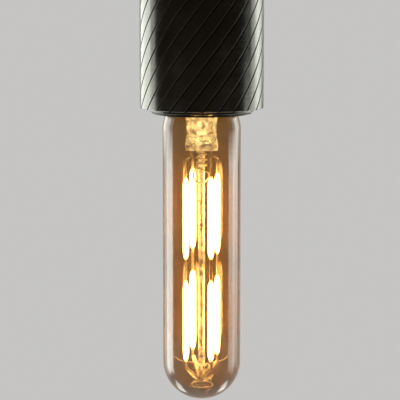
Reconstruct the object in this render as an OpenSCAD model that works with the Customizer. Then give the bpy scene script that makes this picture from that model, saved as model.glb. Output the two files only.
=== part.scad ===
// A tubular LED filament lamp screwed into a spiral-grooved metal lampholder.
// Millimetres, +Z up. The origin is the centre of the lampholder's top face, at its cable entry.
// The lamp hangs below the holder, so every height is negative.

/* [Holder sleeve] */
// Height of the holder from its top face to the sleeve's lower rim
holder_h = 70; // [66:0.5:90]
// Outside diameter of the sleeve
sleeve_d = 47.2; // [46:0.2:56]
// Thickness of the sleeve's wall
sleeve_wall = 3.3; // [2.6:0.1:3.6]
// Number of spiral grooves round the sleeve
groove_count = 24; // [12:1:30]
// Height in which one groove goes once round
groove_lead = 191; // [150:1:400]
// Width of a groove at the surface
groove_w = 0.9; // [0.5:0.1:1.6]
// Depth of a groove
groove_depth = 0.5; // [0.2:0.05:0.8]
// Chamfer on the sleeve's two rims
rim_chamfer = 0.6; // [0.3:0.1:1]

/* [Mouth ring] */
// How far the ring stands out below the sleeve
lip_drop = 2.2; // [1.2:0.1:3]
// Thickness of the ring's wall
ring_wall = 4; // [3.4:0.1:4.4]
// Height of the ring
ring_h = 9.4; // [8:0.1:12]
// Rounding of the ring's lower edges
lip_round = 0.9; // [0.4:0.1:1.1]

/* [Holder top] */
// Thickness of the top cap's disc
top_t = 3; // [2.5:0.5:5]
// Depth of the top cap's spigot inside the sleeve
spigot_h = 5; // [3:0.5:7]
// Wall of the top cap's spigot
spigot_wall = 2; // [1.5:0.1:3]
// Bore of the M10 x 1 cable entry, at the crests of its thread
entry_d = 9; // [8.9:0.05:9.1]
// Length of the cable entry's thread
entry_len = 12; // [10:1:14]
// Outside diameter of the entry bush
bush_d = 13; // [12:0.5:14]
// Length of the entry bush
bush_len = 22; // [20:0.5:24]
// Diameter of the bush's sunk flange
bush_flange_d = 17; // [15.5:0.5:20]
// Thickness of the bush's sunk flange
bush_flange_t = 1.5; // [1:0.1:2]
// Width across the flats of the bush's nut
nut_af = 17; // [16:0.5:19]
// Thickness of the bush's nut
nut_t = 3; // [2.5:0.5:4]

/* [Carrier and insert] */
// Width of the steel carrier strap
strap_w = 10; // [8:0.5:12]
// Thickness of the steel carrier strap
strap_t = 1.2; // [1:0.1:1.6]
// Distance between the outer faces of the carrier's legs
strap_span = 23; // [22:0.5:24]
// Reach of each carrier foot
foot_len = 5.4; // [5:0.1:5.6]
// Gap between the ceramic insert and the sleeve's bore
insert_gap = 2.1; // [1.5:0.1:2.6]
// Thickness of the insert's floor
floor_t = 5; // [4:0.5:6]
// Depth of the insert's well, from its floor to its lower rim
well_h = 25; // [24:0.5:27]
// Width of each brass terminal
terminal_w = 6; // [5:0.5:7]
// Height of each brass terminal
terminal_h = 8; // [7:0.5:10]
// Depth of each brass terminal, along its wire
terminal_depth = 7; // [6:0.5:8]
// Diameter of a terminal's wire hole
wire_hole_d = 2.6; // [2:0.2:3]
// Diameter of the small screws
screw_d = 3; // [2.5:0.5:3]

/* [Screw thread] */
// Pitch of the E27 thread
thread_pitch = 3.629; // [3.629:0.001:3.63]
// Diameter over the crests of the lamp cap's thread
crest_d = 26.4; // [26.1:0.05:26.45]
// Depth of the rolled thread
thread_depth = 1.1; // [1:0.05:1.15]
// Radial play between the cap's thread and the holder's shell
thread_play = 0.3; // [0.25:0.05:0.35]
// Thinnest wall of the holder's shell
shell_wall = 0.5; // [0.4:0.1:0.6]

/* [Sprung centre contact] */
// Diameter of the plunger's head
plunger_d = 7.4; // [6.5:0.1:7.6]
// Diameter of the plunger's pin
pin_d = 3; // [2.5:0.1:3.4]
// How far the plunger can be pushed in
plunger_travel = 1.2; // [0.8:0.1:1.5]
// Wall of the plunger's housing
housing_wall = 0.7; // [0.6:0.1:1]
// Diameter of the contact spring's wire
spring_wire = 0.6; // [0.5:0.1:0.8]
// Turns of the contact spring
spring_turns = 4; // [3:0.5:5]

/* [Lamp glass] */
// Diameter of the glass tube
glass_d = 30; // [29:0.2:31]
// Thickness of the glass
glass_wall = 1; // [0.8:0.1:1.2]
// Diameter of the glass neck in the cap
neck_d = 25; // [24.6:0.1:25.2]
// Height from the lower filaments to the end of the glass
glass_tail = 15.2; // [14.5:0.1:18]
// Height in which the neck widens to the tube
shoulder_h = 12.5; // [11:0.5:20]

/* [Lamp cap] */
// Overall height of the cap, from its rim to its contact
cap_h = 27; // [26.5:0.1:27.5]
// Height of the cap's plain skirt
skirt_h = 6; // [5:0.5:6.5]
// Outside diameter of the skirt
skirt_d = 26.6; // [26.2:0.1:27]
// Thickness of the cap's sheet at the skirt
cap_wall = 0.35; // [0.3:0.05:0.4]
// Height of the black insulator above the thread
vitrite_h = 3.4; // [3:0.1:4]
// Diameter of the centre contact
eyelet_d = 9.6; // [9:0.2:11]
// Thickness of the centre contact
eyelet_t = 1.1; // [0.8:0.1:1.3]
// Size of the driver board across the cap
board_w = 16; // [13:0.5:18]
// Height of the driver board
board_h = 11; // [10:0.5:11.5]
// Thickness of the driver board
board_t = 1; // [0.8:0.2:1.2]
// Diameter of the smoothing capacitor
capacitor_d = 6.3; // [5:0.1:6.5]
// Length of the smoothing capacitor
capacitor_len = 7; // [6:0.5:8]
// Diameter of the fuse resistor
resistor_d = 2.6; // [2.2:0.1:3]
// Length of the fuse resistor
resistor_len = 6.5; // [5:0.5:6.5]

/* [Lamp stem] */
// Diameter of the stem's tube
stem_d = 11.6; // [11:0.2:13]
// Width of the flat press at the end of the stem
press_w = 12.6; // [12:0.2:14]
// Thickness of the flat press
press_t = 3.6; // [3:0.2:4.5]
// Height of the press
press_h = 6; // [5:0.5:8]
// Height from the cap's rim to the end of the press
stem_len = 20; // [18:0.5:22]
// Diameter of the exhaust tube
exhaust_d = 4.4; // [3.6:0.2:5]
// Diameter of the glass centre rod
rod_d = 2.5; // [2:0.1:3]
// Diameter of the support wires
wire_d = 0.7; // [0.5:0.1:0.8]
// Distance of the two lead wires from the axis
lead_x = 3.9; // [3.6:0.1:4]

/* [Filaments] */
// Length of the glowing part of a filament
lit_len = 32; // [28:0.5:33]
// Width of a filament
filament_w = 2.6; // [1.8:0.1:3]
// Thickness of a filament
filament_t = 2.2; // [1.6:0.1:2.6]
// Length of the bare metal tab at each end
tab_len = 3.4; // [2.5:0.1:3.6]
// Width of a tab
tab_w = 1.1; // [0.8:0.1:1.4]
// Thickness of a tab
tab_t = 0.3; // [0.2:0.1:0.4]
// Distance of the filaments from the axis
column_r = 7; // [6:0.1:7.5]
// Turn of the four columns of filaments about the axis
column_turn = 30; // [0:0.1:89]
// Height from the end of the press to the upper filaments
filament_drop = 9.8; // [9.6:0.1:12]
// Gap between the upper and the lower filaments
tier_gap = 8; // [7:0.1:9]
// Height from the lower tabs down to the spider's ferrule
hub_drop = 3.8; // [3.4:0.1:4.2]
// Height of the spider's ferrule
ferrule_h = 3; // [2.5:0.1:3.5]

/* [Hidden] */
$fn = 64;

// Clearances
touch = 0.05;
running = 0.1;
loose = 0.3;

// Radii of the sleeve and what sits in it
sleeve_r = sleeve_d / 2;
bore_r = sleeve_r - sleeve_wall;
ring_r = bore_r - loose;
mouth_r = ring_r - ring_wall;
insert_r = bore_r - insert_gap;

// Thread radii
thread_mean = crest_d / 2 - thread_depth / 2;
shell_mean = thread_mean + thread_play;
shell_r = shell_mean + thread_depth / 2 + shell_wall;
well_r = shell_r + running;

// Heights, from the holder's rim to the cap's contact
contact_drop = 1.8;
thread_runout = 0.8;
rim_z = -holder_h;
mouth_z = rim_z - lip_drop;
ring_top_z = mouth_z + ring_h;
insert_bottom_z = ring_top_z + touch;
floor_z = insert_bottom_z + well_h;
insert_top_z = floor_z + floor_t;
tip_z = floor_z - contact_drop;
cap_rim_z = tip_z - cap_h;
skirt_top_z = cap_rim_z + skirt_h;
cap_top_z = tip_z - eyelet_t - vitrite_h;
shell_bottom_z = skirt_top_z + thread_runout;
shell_top_z = cap_top_z - 4 * touch;

// Strip from the screw shell up to its terminal, and the terminals beside it
link_w = 3;
link_t = 0.6;
link_x = shell_r - shell_wall - link_t;
terminal_x = link_x - touch - terminal_w / 2;

// Top of the holder
bush_r = bush_d / 2;
entry_r = entry_d / 2;
strap_z = -top_t - spigot_h;
leg_top_z = strap_z - strap_t;
foot_top_z = insert_top_z + strap_t;
screw_r = screw_d / 2;
head_r = screw_r * 1.8;
head_h = screw_d * 0.6;
foot_y = strap_span / 2 + head_r + loose;
shank_len = 4;
earth_z = (leg_top_z + insert_top_z) / 2;
earth_len = strap_span / 2 - bush_r - 2 * loose;
grip_rise = 3;
grip_z = grip_rise - bush_len;
cord_r = entry_r - 0.5;

// Sprung contact
pin_r = pin_d / 2;
housing_bore_r = plunger_d / 2 + running;
housing_r = housing_bore_r + housing_wall;
housing_rise = 1.6;
housing_top_z = insert_top_z + housing_rise;
head_t = 1.5;
plunger_z = tip_z + touch;
plunger_head_z = plunger_z + head_t;
spring_top_z = housing_top_z - housing_rise / 2;
stop_r = pin_r + 0.5;
stop_z = spring_top_z - plunger_travel - running;
flange_t = 1;
flange_r = housing_r + 1.6;
clip_t = 0.8;
clip_r = pin_r + 1.3;

// Lamp cap
cap_bore_r = thread_mean - thread_depth / 2 - cap_wall;
skirt_r = skirt_d / 2;
neck_r = neck_d / 2;
neck_bore_r = neck_r - glass_wall;
skirt_edge = 0.6;
neck_top_z = skirt_top_z - skirt_edge;
plug_h = 3;
plug_z = cap_top_z - plug_h;
stalk_r = 1.5;
stalk_z = plug_z + plug_h / 2;
slot_depth = 1;
board_top_z = plug_z + slot_depth - running;
board_bottom_z = board_top_z - board_h;
board_y = wire_d / 2 + touch;

// Parts on the driver board
part_z = board_bottom_z + 4.5;
part_h = 5;
rectifier_x = 1.2;
rectifier_w = 5;
rectifier_t = 2.2;
chip_x = -6.2;
chip_w = 4.4;
chip_t = 1.5;
capacitor_x = capacitor_d / 2 - board_w / 2 + 0.5;
capacitor_z = board_bottom_z + 5;
resistor_x = 1;
resistor_z = board_bottom_z + 7;
back_y = board_y + board_t + touch;

// Stem
stem_r = stem_d / 2;
stem_end_z = cap_rim_z - stem_len;
press_top_z = stem_end_z + press_h;
flare_top_z = neck_top_z - 1;
rod_r = rod_d / 2;
wire_r = wire_d / 2;
lead_out = 2;

// Filaments
upper_top_z = stem_end_z - filament_drop;
upper_end_z = upper_top_z - lit_len;
lower_top_z = upper_end_z - tier_gap;
lower_end_z = lower_top_z - lit_len;
column_rise = [1, 2.5, 0, 0.5];
hub_z = lower_end_z - tab_len - hub_drop;
ferrule_floor = 0.8;
rod_end_z = hub_z + ferrule_floor;
spider_r = rod_r + 0.7;
spring_rise = 1.9;
spring_z = hub_z + ferrule_h + spring_rise;
leg_angles = [42, 140, 270];

// Glass
glass_r = glass_d / 2;
glass_end_z = lower_end_z - glass_tail;
dome_z = glass_end_z + glass_r;
shoulder_top_z = cap_rim_z + 0.8;

// Facets round and along the lofted shapes
thread_sides = 30;
thread_steps = 10;
wire_sides = 6;

function unit(v) = v / norm(v);
function smooth(t) = t * t * (3 - 2 * t);
function column_angle(k) = column_turn + 90 * k;
function column(k, z, r = column_r) =
  [r * cos(column_angle(k)), r * sin(column_angle(k)), z + column_rise[k]];

// Points of a smooth curve through the given ones
function between(p, i, t) =
  let (
    a = p[max(i - 1, 0)],
    b = p[i],
    c = p[i + 1],
    d = p[min(i + 2, len(p) - 1)]
  )
  0.5 * (2 * b + (c - a) * t + (2 * a - 5 * b + 4 * c - d) * t * t
    + (3 * b - a - 3 * c + d) * t * t * t);
function curve(p, steps) = concat(
  [for (i = [0:len(p) - 2]) for (s = [0:steps - 1]) between(p, i, s / steps)],
  [p[len(p) - 1]]
);

// Directions across a wire, carried along it without a twist
function along(p, i) = unit(p[min(i + 1, len(p) - 1)] - p[max(i - 1, 0)]);
function across(p, i, s) = unit(s - (s * along(p, i)) * along(p, i));
function frames(p, s, i = 0) =
  i == len(p) ? [] : let (n = across(p, i, s)) concat([n], frames(p, n, i + 1));

// Joins rings of points, each given anticlockwise seen from +Z, from the lowest to the highest
module loft(rings) {
  m = len(rings[0]);
  k = len(rings);
  walls = [for (j = [0:k - 2]) for (i = [0:m - 1])
    let (a = j * m + i, b = j * m + (i + 1) % m) each [[a, a + m, b + m], [a, b + m, b]]];
  ends = [[for (i = [0:m - 1]) i], [for (i = [m - 1:-1:0]) (k - 1) * m + i]];
  polyhedron(points = [for (r = rings) each r], faces = concat(walls, ends));
}

// Joins rings of points into a tube: up the outside, then down the inside.
// The last wall closes the tube, and shift turns its lower ring by that many points.
module loft_tube(rings, shift = 0) {
  m = len(rings[0]);
  k = len(rings);
  faces = [for (j = [0:k - 1]) for (i = [0:m - 1])
    let (
      turn = j == k - 2 ? shift : 0,
      next = (j + 1) % k,
      a = j * m + i,
      b = j * m + (i + 1) % m,
      c = next * m + (i + 1 + turn) % m,
      d = next * m + (i + turn) % m
    ) each [[a, d, c], [a, c, b]]];
  polyhedron(points = [for (r = rings) each r], faces = faces);
}

// A round wire along a list of points
module wire(p, r = wire_r, start = [0.3, 0.9, 0.2]) {
  n = frames(p, start);
  loft([for (i = [0:len(p) - 1]) let (u = n[i], v = cross(along(p, i), n[i]))
    [for (s = [0:wire_sides - 1]) let (a = 360 * s / wire_sides)
      p[i] + r * (cos(a) * u + sin(a) * v)]]);
}

// Radius of a rolled thread at an angle and a height
function thread_r(mean, a, z) =
  mean + thread_depth / 2 * cos(a - 360 * z / thread_pitch);
function thread_ring(mean, z) = [for (s = [0:thread_sides - 1])
  let (a = 360 * s / thread_sides, r = thread_r(mean, a, z)) [r * cos(a), r * sin(a), z]];
function round_ring(r, z, sides = thread_sides) = [for (s = [0:sides - 1])
  let (a = 360 * s / sides) [r * cos(a), r * sin(a), z]];
function thread_rings(mean, from, to) =
  let (steps = round(abs(to - from) / thread_pitch * thread_steps))
  [for (j = [0:steps]) thread_ring(mean, from + (to - from) * j / steps)];

// One ring of the sleeve: each groove has two edges and a root, with a point mid-land
function sleeve_ring(r, z, turn) =
  let (half = asin(groove_w / 2 / sleeve_r), step = 360 / groove_count)
  [for (g = [0:groove_count - 1])
    for (p = [[-half, r], [0, min(r, sleeve_r - groove_depth)], [half, r], [step / 2, r]])
      let (a = turn + step * g + p[0]) [p[1] * cos(a), p[1] * sin(a), z]];

// A pan-head screw standing on z = 0, with its shank below
module screw(length) {
  edge = 0.3;
  rotate_extrude() polygon([[0, -length], [screw_r, -length], [screw_r, 0], [head_r, 0],
    [head_r, head_h - edge], [head_r - edge, head_h], [0, head_h]]);
}

// Holder

module grooved_sleeve() {
  top_z = -top_t;
  height = top_z - rim_z;
  bands = 14;
  sides = 4 * groove_count;
  turn = 360 * height / groove_lead;
  margin = rim_chamfer / height;
  levels = [for (j = [0:bands]) margin + (1 - 2 * margin) * j / bands];
  shift = round(turn * sides / 360);
  outer = concat(
    [sleeve_ring(sleeve_r - rim_chamfer, rim_z, 0)],
    [for (t = levels) sleeve_ring(sleeve_r, rim_z + height * t, turn * t)],
    [sleeve_ring(sleeve_r - rim_chamfer, top_z, turn)]
  );
  bore_top = [for (s = [0:sides - 1]) let (a = turn + 360 * s / sides)
    [bore_r * cos(a), bore_r * sin(a), top_z]];
  bore_low = [for (s = [0:sides - 1]) let (a = turn + 360 * (s - shift) / sides)
    [bore_r * cos(a), bore_r * sin(a), rim_z]];
  color("#3a3733") loft_tube(concat(outer, [bore_top, bore_low]), shift);
}

module mouth_ring() {
  steps = 4;
  sines = [for (i = [0:steps]) lip_round * (1 - sin(90 * i / steps))];
  outer = [for (i = [0:steps]) [ring_r - sines[i], mouth_z + sines[steps - i]]];
  inner = [for (i = [0:steps]) [mouth_r + sines[steps - i], mouth_z + sines[i]]];
  color("#4a443c") rotate_extrude() polygon(concat(
    outer, [[ring_r, ring_top_z], [mouth_r, ring_top_z]], inner
  ));
}

module top_cap() {
  edge = 0.8;
  spigot_r = bore_r - running;
  recess_r = bush_flange_d / 2 + running;
  boss_r = recess_r + 2;
  hole_r = bush_r + running;
  color("#3a3733") rotate_extrude() polygon([
    [recess_r, 0], [sleeve_r - edge, 0], [sleeve_r, -edge],
    [sleeve_r, touch - top_t], [spigot_r, touch - top_t], [spigot_r, strap_z],
    [spigot_r - spigot_wall, strap_z], [spigot_r - spigot_wall, -top_t],
    [boss_r, -top_t], [boss_r, strap_z + touch], [hole_r, strap_z + touch],
    [hole_r, -bush_flange_t - touch], [recess_r, -bush_flange_t - touch]
  ]);
}

module entry_bush() {
  color("#b9a66b") difference() {
    union() {
      translate([0, 0, -bush_len]) cylinder(h = bush_len, r = bush_r);
      translate([0, 0, -bush_flange_t]) cylinder(h = bush_flange_t, r = bush_flange_d / 2);
    }
    translate([0, 0, -entry_len]) cylinder(h = entry_len + 1, r = entry_r);
    translate([0, 0, -bush_len - 1]) cylinder(h = bush_len, r = cord_r);
    translate([0, 0, grip_z]) rotate([0, 90, 0]) cylinder(h = bush_d, r = screw_r + touch);
  }
}

module bush_nut() {
  color("#c9c9c4") translate([0, 0, leg_top_z - nut_t - touch]) difference() {
    cylinder(h = nut_t, d = nut_af / cos(30), $fn = 6);
    translate([0, 0, -1]) cylinder(h = nut_t + 2, r = bush_r + touch);
  }
}

module grip_screw() {
  tip_x = cord_r + 0.2;
  proud = 2;
  color("#c9c9c4") translate([tip_x, 0, grip_z]) rotate([0, 90, 0])
    cylinder(h = bush_r + proud - tip_x, r = screw_r);
}

module carrier_strap() {
  base_z = insert_top_z + touch;
  half = strap_span / 2;
  color("#a9abad") difference() {
    union() {
      translate([-strap_w / 2, -half, leg_top_z]) cube([strap_w, strap_span, strap_t]);
      translate([0, 0, leg_top_z]) cylinder(h = strap_t, r = bush_r + 3.5);
      for (side = [0, 180]) rotate(side) translate([-strap_w / 2, half - strap_t, base_z]) {
        cube([strap_w, strap_t, strap_z - base_z]);
        cube([strap_w, strap_t + foot_len, strap_t]);
      }
    }
    translate([0, 0, leg_top_z - 1]) cylinder(h = strap_t + 2, r = bush_r + touch);
    for (side = [-1, 1]) translate([0, side * foot_y, insert_top_z - 1])
      cylinder(h = strap_t + 3, r = screw_r + touch);
    translate([0, 0, earth_z]) rotate([90, 0, 0]) cylinder(h = strap_span, r = screw_r + touch);
  }
}

module carrier_screws() {
  color("#d0d0cc") for (side = [-1, 1])
    translate([0, side * foot_y, foot_top_z + 2 * touch]) screw(shank_len + strap_t);
}

module earth_screw() {
  washer_r = head_r + 0.8;
  washer_t = 0.8;
  color("#d9c46a") translate([0, -strap_span / 2 - touch, earth_z]) rotate([90, 0, 0])
    rotate_extrude() polygon([[0, -earth_len], [screw_r, -earth_len], [screw_r, 0],
      [washer_r, 0], [washer_r, washer_t], [head_r, washer_t], [head_r, washer_t + head_h],
      [0, washer_t + head_h]]);
}

module ceramic_insert() {
  edge = 1;
  hole_r = housing_r + running;
  color("#efe9dc") difference() {
    rotate_extrude() polygon([
      [hole_r, floor_z], [well_r, floor_z], [well_r, insert_bottom_z],
      [insert_r, insert_bottom_z], [insert_r, insert_top_z - edge],
      [insert_r - edge, insert_top_z], [hole_r, insert_top_z]
    ]);
    for (side = [-1, 1]) translate([0, side * foot_y, insert_top_z - shank_len - 0.5])
      cylinder(h = shank_len + 2, r = screw_r + touch);
    translate([-link_x - link_t - running, -link_w / 2 - running, floor_z - 1])
      cube([link_t + 2 * running, link_w + 2 * running, floor_t + 2]);
  }
}

module screw_shell() {
  outside = [round_ring(shell_r, shell_bottom_z), round_ring(shell_r, shell_top_z)];
  inside = thread_rings(shell_mean, shell_top_z, shell_bottom_z);
  color("#d8c48a") loft_tube(concat(outside, inside));
}

module neutral_link() {
  low = shell_top_z + touch;
  color("#d8c48a") translate([-link_x - link_t, -link_w / 2, low])
    cube([link_t, link_w, insert_top_z + terminal_h / 2 - low]);
}

module live_link() {
  start = housing_r + 0.2;
  color("#d8c48a") translate([start, -link_w / 2, insert_top_z + flange_t + 2 * touch])
    cube([terminal_x - terminal_w / 2 - touch - start, link_w, link_t]);
}

// A brass block with a hole for the wire and a screw that clamps it
module terminal(side) {
  color("#cdb368") translate([side * terminal_x, 0, insert_top_z + touch]) difference() {
    translate([-terminal_w / 2, -terminal_depth / 2, 0])
      cube([terminal_w, terminal_depth, terminal_h]);
    translate([0, terminal_depth, terminal_h * 0.4]) rotate([90, 0, 0])
      cylinder(h = 2 * terminal_depth, r = wire_hole_d / 2);
    translate([0, 0, terminal_h * 0.4]) cylinder(h = terminal_h, r = screw_r + touch);
  }
}

module live_terminal() {
  terminal(1);
}

module neutral_terminal() {
  terminal(-1);
}

module terminal_screws() {
  length = terminal_h * 0.6 - wire_hole_d / 2 - 0.2;
  color("#d0d0cc") for (side = [-1, 1])
    translate([side * terminal_x, 0, insert_top_z + terminal_h + 2 * touch]) screw(length);
}

// Sprung centre contact

module plunger_housing() {
  color("#d8c48a") rotate_extrude() polygon([
    [housing_bore_r, floor_z + touch], [housing_r, floor_z + touch],
    [housing_r, insert_top_z + touch], [flange_r, insert_top_z + touch],
    [flange_r, insert_top_z + flange_t + touch], [housing_r, insert_top_z + flange_t + touch],
    [housing_r, housing_top_z], [pin_r + running, housing_top_z],
    [pin_r + running, spring_top_z], [housing_bore_r, spring_top_z]
  ]);
}

module contact_spring() {
  r = (pin_r + housing_bore_r) / 2;
  wire_radius = spring_wire / 2;
  low = plunger_head_z + wire_radius + touch;
  high = spring_top_z - wire_radius - touch;
  steps = round(spring_turns * 12);
  color("#c8ccd0") wire([for (j = [0:steps]) let (a = 360 * spring_turns * j / steps)
    [r * cos(a), r * sin(a), low + (high - low) * j / steps]], wire_radius, [0, 0, 1]);
}

// The plunger's wide stage meets the housing's top at the end of its travel
module contact_plunger() {
  edge = 0.5;
  head = plunger_d / 2;
  pin_top_z = housing_top_z + touch + clip_t + 0.6;
  color("#d8c48a") rotate_extrude() polygon([
    [0, plunger_z], [head - edge, plunger_z], [head, plunger_z + edge],
    [head, plunger_head_z], [stop_r, plunger_head_z], [stop_r, stop_z], [pin_r, stop_z],
    [pin_r, pin_top_z], [0, pin_top_z]
  ]);
}

module plunger_clip() {
  color("#9fa3a6") translate([0, 0, housing_top_z + touch]) difference() {
    cylinder(h = clip_t, r = clip_r);
    translate([0, 0, -1]) cylinder(h = clip_t + 2, r = pin_r + touch / 2);
  }
}

// Lamp cap

module lamp_eyelet() {
  r = eyelet_d / 2;
  seat_z = tip_z - eyelet_t + touch;
  color("#c9c4b4") rotate_extrude() polygon([
    [0, stalk_z], [stalk_r, stalk_z], [stalk_r, seat_z], [r, seat_z],
    [r, tip_z - eyelet_t / 2], [r - 1.4, tip_z], [0, tip_z]
  ]);
}

module cap_shell() {
  outside = concat(
    [round_ring(skirt_r, cap_rim_z), round_ring(skirt_r, skirt_top_z - skirt_edge)],
    thread_rings(thread_mean, skirt_top_z, cap_top_z - 0.5),
    [round_ring(cap_bore_r + cap_wall, cap_top_z)]
  );
  step_z = neck_top_z + loose;
  inside = [round_ring(cap_bore_r, cap_top_z), round_ring(cap_bore_r, step_z),
    round_ring(skirt_r - cap_wall, step_z), round_ring(skirt_r - cap_wall, cap_rim_z)];
  color("#d4d2cb") loft_tube(concat(outside, inside));
}

module cap_insulator() {
  plug_r = (cap_bore_r - touch) * cos(180 / thread_sides);
  top_r = eyelet_d / 2 + 0.8;
  color("#141414") difference() {
    rotate_extrude() polygon([
      [stalk_r + running, tip_z - eyelet_t], [top_r, tip_z - eyelet_t],
      [cap_bore_r, cap_top_z + 0.6], [cap_bore_r, cap_top_z + touch],
      [plug_r, cap_top_z + touch], [plug_r, plug_z], [stalk_r + running, plug_z]
    ]);
    translate([-board_w / 2 - running, board_y - running, plug_z - 1])
      cube([board_w + 2 * running, board_t + 2 * running, 1 + slot_depth]);
  }
}

module cap_cement() {
  outer = (skirt_r - cap_wall) * cos(180 / thread_sides) - touch;
  color("#b8b2a2") translate([0, 0, cap_rim_z + 0.5]) difference() {
    cylinder(h = neck_top_z - cap_rim_z - 0.5, r = outer);
    translate([0, 0, -1]) cylinder(h = skirt_h + 2, r = neck_r + touch);
  }
}

// Driver in the cap

module driver_board() {
  color("#2f6b45") translate([-board_w / 2, board_y, board_bottom_z])
    cube([board_w, board_t, board_h]);
}

module bridge_rectifier() {
  color("#1b1b1d") translate([rectifier_x, board_y - touch - rectifier_t, part_z])
    cube([rectifier_w, rectifier_t, part_h]);
}

module driver_chip() {
  color("#232326") translate([chip_x, board_y - touch - chip_t, part_z])
    cube([chip_w, chip_t, part_h]);
}

module smoothing_capacitor() {
  r = capacitor_d / 2;
  edge = 0.3;
  color("#33466b") translate([capacitor_x, back_y, capacitor_z])
    rotate([-90, 0, 0]) rotate_extrude() polygon([[0, 0], [r - edge, 0], [r, edge],
      [r, capacitor_len - edge], [r - edge, capacitor_len], [0, capacitor_len]]);
}

module fuse_resistor() {
  r = resistor_d / 2;
  waist = r * 0.85;
  shoulder = resistor_len * 0.23;
  slope = resistor_len * 0.28;
  color("#a9502d") translate([resistor_x, back_y + r, resistor_z])
    rotate([0, 90, 0]) rotate_extrude() polygon([[0, 0], [r, 0], [r, shoulder],
      [waist, slope], [waist, resistor_len - slope], [r, resistor_len - shoulder],
      [r, resistor_len], [0, resistor_len]]);
}

module driver_wires() {
  thin = 0.3;
  front_y = board_y - touch - thin;
  half = board_w / 2;
  live = [[0, front_y, part_z], [0, front_y, board_top_z], [0, front_y, stalk_z - thin - touch]];
  side = cap_bore_r * cos(180 / thread_sides) - thin - touch;
  neutral = [
    [half - 1, front_y, board_bottom_z + 3],
    [half, front_y, board_bottom_z + 1.5],
    [half + 1.5, front_y, board_bottom_z],
    [side, 0, board_bottom_z - 1.5]
  ];
  color("#b5322b") wire(live, thin);
  color("#22242a") wire(curve(neutral, 3), thin);
}

// Glass and stem

module glass_envelope() {
  steps = 12;
  bend = [for (j = [0:steps]) let (t = j / steps)
    [neck_r + (glass_r - neck_r) * smooth(t), shoulder_top_z - shoulder_h * t]];
  dome = [for (a = [0:10:90]) [glass_r * cos(a), dome_z - glass_r * sin(a)]];
  inner_r = glass_r - glass_wall;
  inner_dome = [for (a = [90:-10:0]) [inner_r * cos(a), dome_z - inner_r * sin(a)]];
  inner_bend = [for (j = [steps:-1:0]) bend[j] - [glass_wall, 0]];
  color("#ffe9c4", 0.35) rotate_extrude() polygon(concat([[neck_r, neck_top_z]], bend, dome,
    inner_dome, inner_bend, [[neck_bore_r, neck_top_z]]));
}

module stem() {
  steps = 12;
  wide = neck_bore_r - touch;
  span = flare_top_z - press_top_z;
  flare = [for (j = [0:steps]) let (t = j / steps)
    [stem_r + (wide - stem_r) * pow(1 - t, 2.4), flare_top_z - span * t]];
  inside = [for (j = [steps:-1:0]) flare[j] - [glass_wall, 0]];
  color("#fff1d8", 0.5) difference() {
    union() {
      rotate_extrude() polygon(concat(flare, inside));
      hull() {
        translate([0, 0, press_top_z - 0.5]) cylinder(h = 0.5, r = stem_r, $fn = 32);
        for (side = [-1, 1])
          translate([side * (press_w - press_t) / 2, 0, stem_end_z])
            cylinder(h = press_h * 0.55, r = press_t / 2, $fn = 24);
      }
    }
    for (side = [-1, 1]) translate([side * lead_x, 0, stem_end_z - 1])
      cylinder(h = press_h + 2, r = wire_r + touch);
  }
}

module exhaust_tube() {
  r = exhaust_d / 2;
  bore = r - 0.8;
  tip = flare_top_z + 1;
  low = press_top_z + touch;
  color("#fff1d8", 0.5) rotate_extrude() polygon(concat(
    [[0, low], [r, low]],
    [for (a = [0:30:90]) [r * cos(a), tip - r + r * sin(a)]],
    [for (a = [90:-30:0]) [bore * cos(a), tip - r + bore * sin(a)]],
    [[bore, low + 0.8], [0, low + 0.8]]
  ));
}

module centre_rod() {
  color("#fff1d8", 0.6) translate([0, 0, rod_end_z])
    cylinder(h = stem_end_z - touch - rod_end_z, r = rod_r);
}

// Wire wound round the rod below the press, ending in a loop
module rod_binding() {
  r = rod_r + wire_r + 4 * touch;
  turns = 3.25;
  top = stem_end_z - wire_r - 2 * touch;
  drop = 6.6;
  steps = turns * 12;
  coil = [for (j = [0:steps]) let (a = -90 - 360 * (turns - turns * j / steps))
    [r * cos(a), r * sin(a), top - drop * j / steps]];
  tail = [[2.9, -r - 0.6, top - drop - 1.6], [2.2, -r - 0.9, top - drop - 3.6],
    [0, -r - 0.9, top - drop - 5.2], [-2.5, -r - 0.7, top - drop - 4.2],
    [-3.2, -r - 0.2, top - drop - 2], [-2.6, -r + 0.3, top - drop - 0.4]];
  color("#cfa24a") wire(concat(coil, curve(tail, 3)), wire_r, [0, 0, 1]);
}

module lead_wires() {
  low = stem_end_z - lead_out;
  color("#cfa24a") for (side = [-1, 1]) translate([side * lead_x, 0, low])
    cylinder(h = board_bottom_z + 2 - low, r = wire_r);
}

// Each fork joins one lead wire to the tops of two filaments
module upper_forks() {
  joint_z = stem_end_z - lead_out - touch - wire_r;
  top_z = upper_top_z + tab_len + touch;
  bend = 0.25;
  color("#cfa24a") for (side = [[-1, 1, 2], [1, 0, 3]]) {
    lead = [side[0] * lead_x, 0, joint_z];
    a = column(side[1], top_z);
    b = column(side[2], top_z);
    above_a = [a[0], a[1], joint_z + bend * (a[2] - joint_z)];
    above_b = [b[0], b[1], joint_z + bend * (b[2] - joint_z)];
    wire(curve([a, above_a, lead, above_b, b], 4));
  }
}

// Filaments

// An oval strip on column k, narrowed at both ends
module filament(k, top_z) {
  narrow = 3.5;
  sides = 10;
  stops = [0, 0.3, 1, 2.1, narrow];
  levels = concat(stops, [for (j = [4:-1:0]) lit_len - stops[j]]);
  low = column(k, top_z - lit_len);
  color("#ffe7a0") translate(low) rotate(column_angle(k)) loft([for (z = levels)
    let (near = min(z, lit_len - z, narrow) / narrow, f = max(0.4, sqrt(1 - pow(1 - near, 2))))
    [for (s = [0:sides - 1]) let (a = 360 * s / sides)
      [f * filament_t / 2 * cos(a), f * filament_w / 2 * sin(a), z]]]);
}

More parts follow.
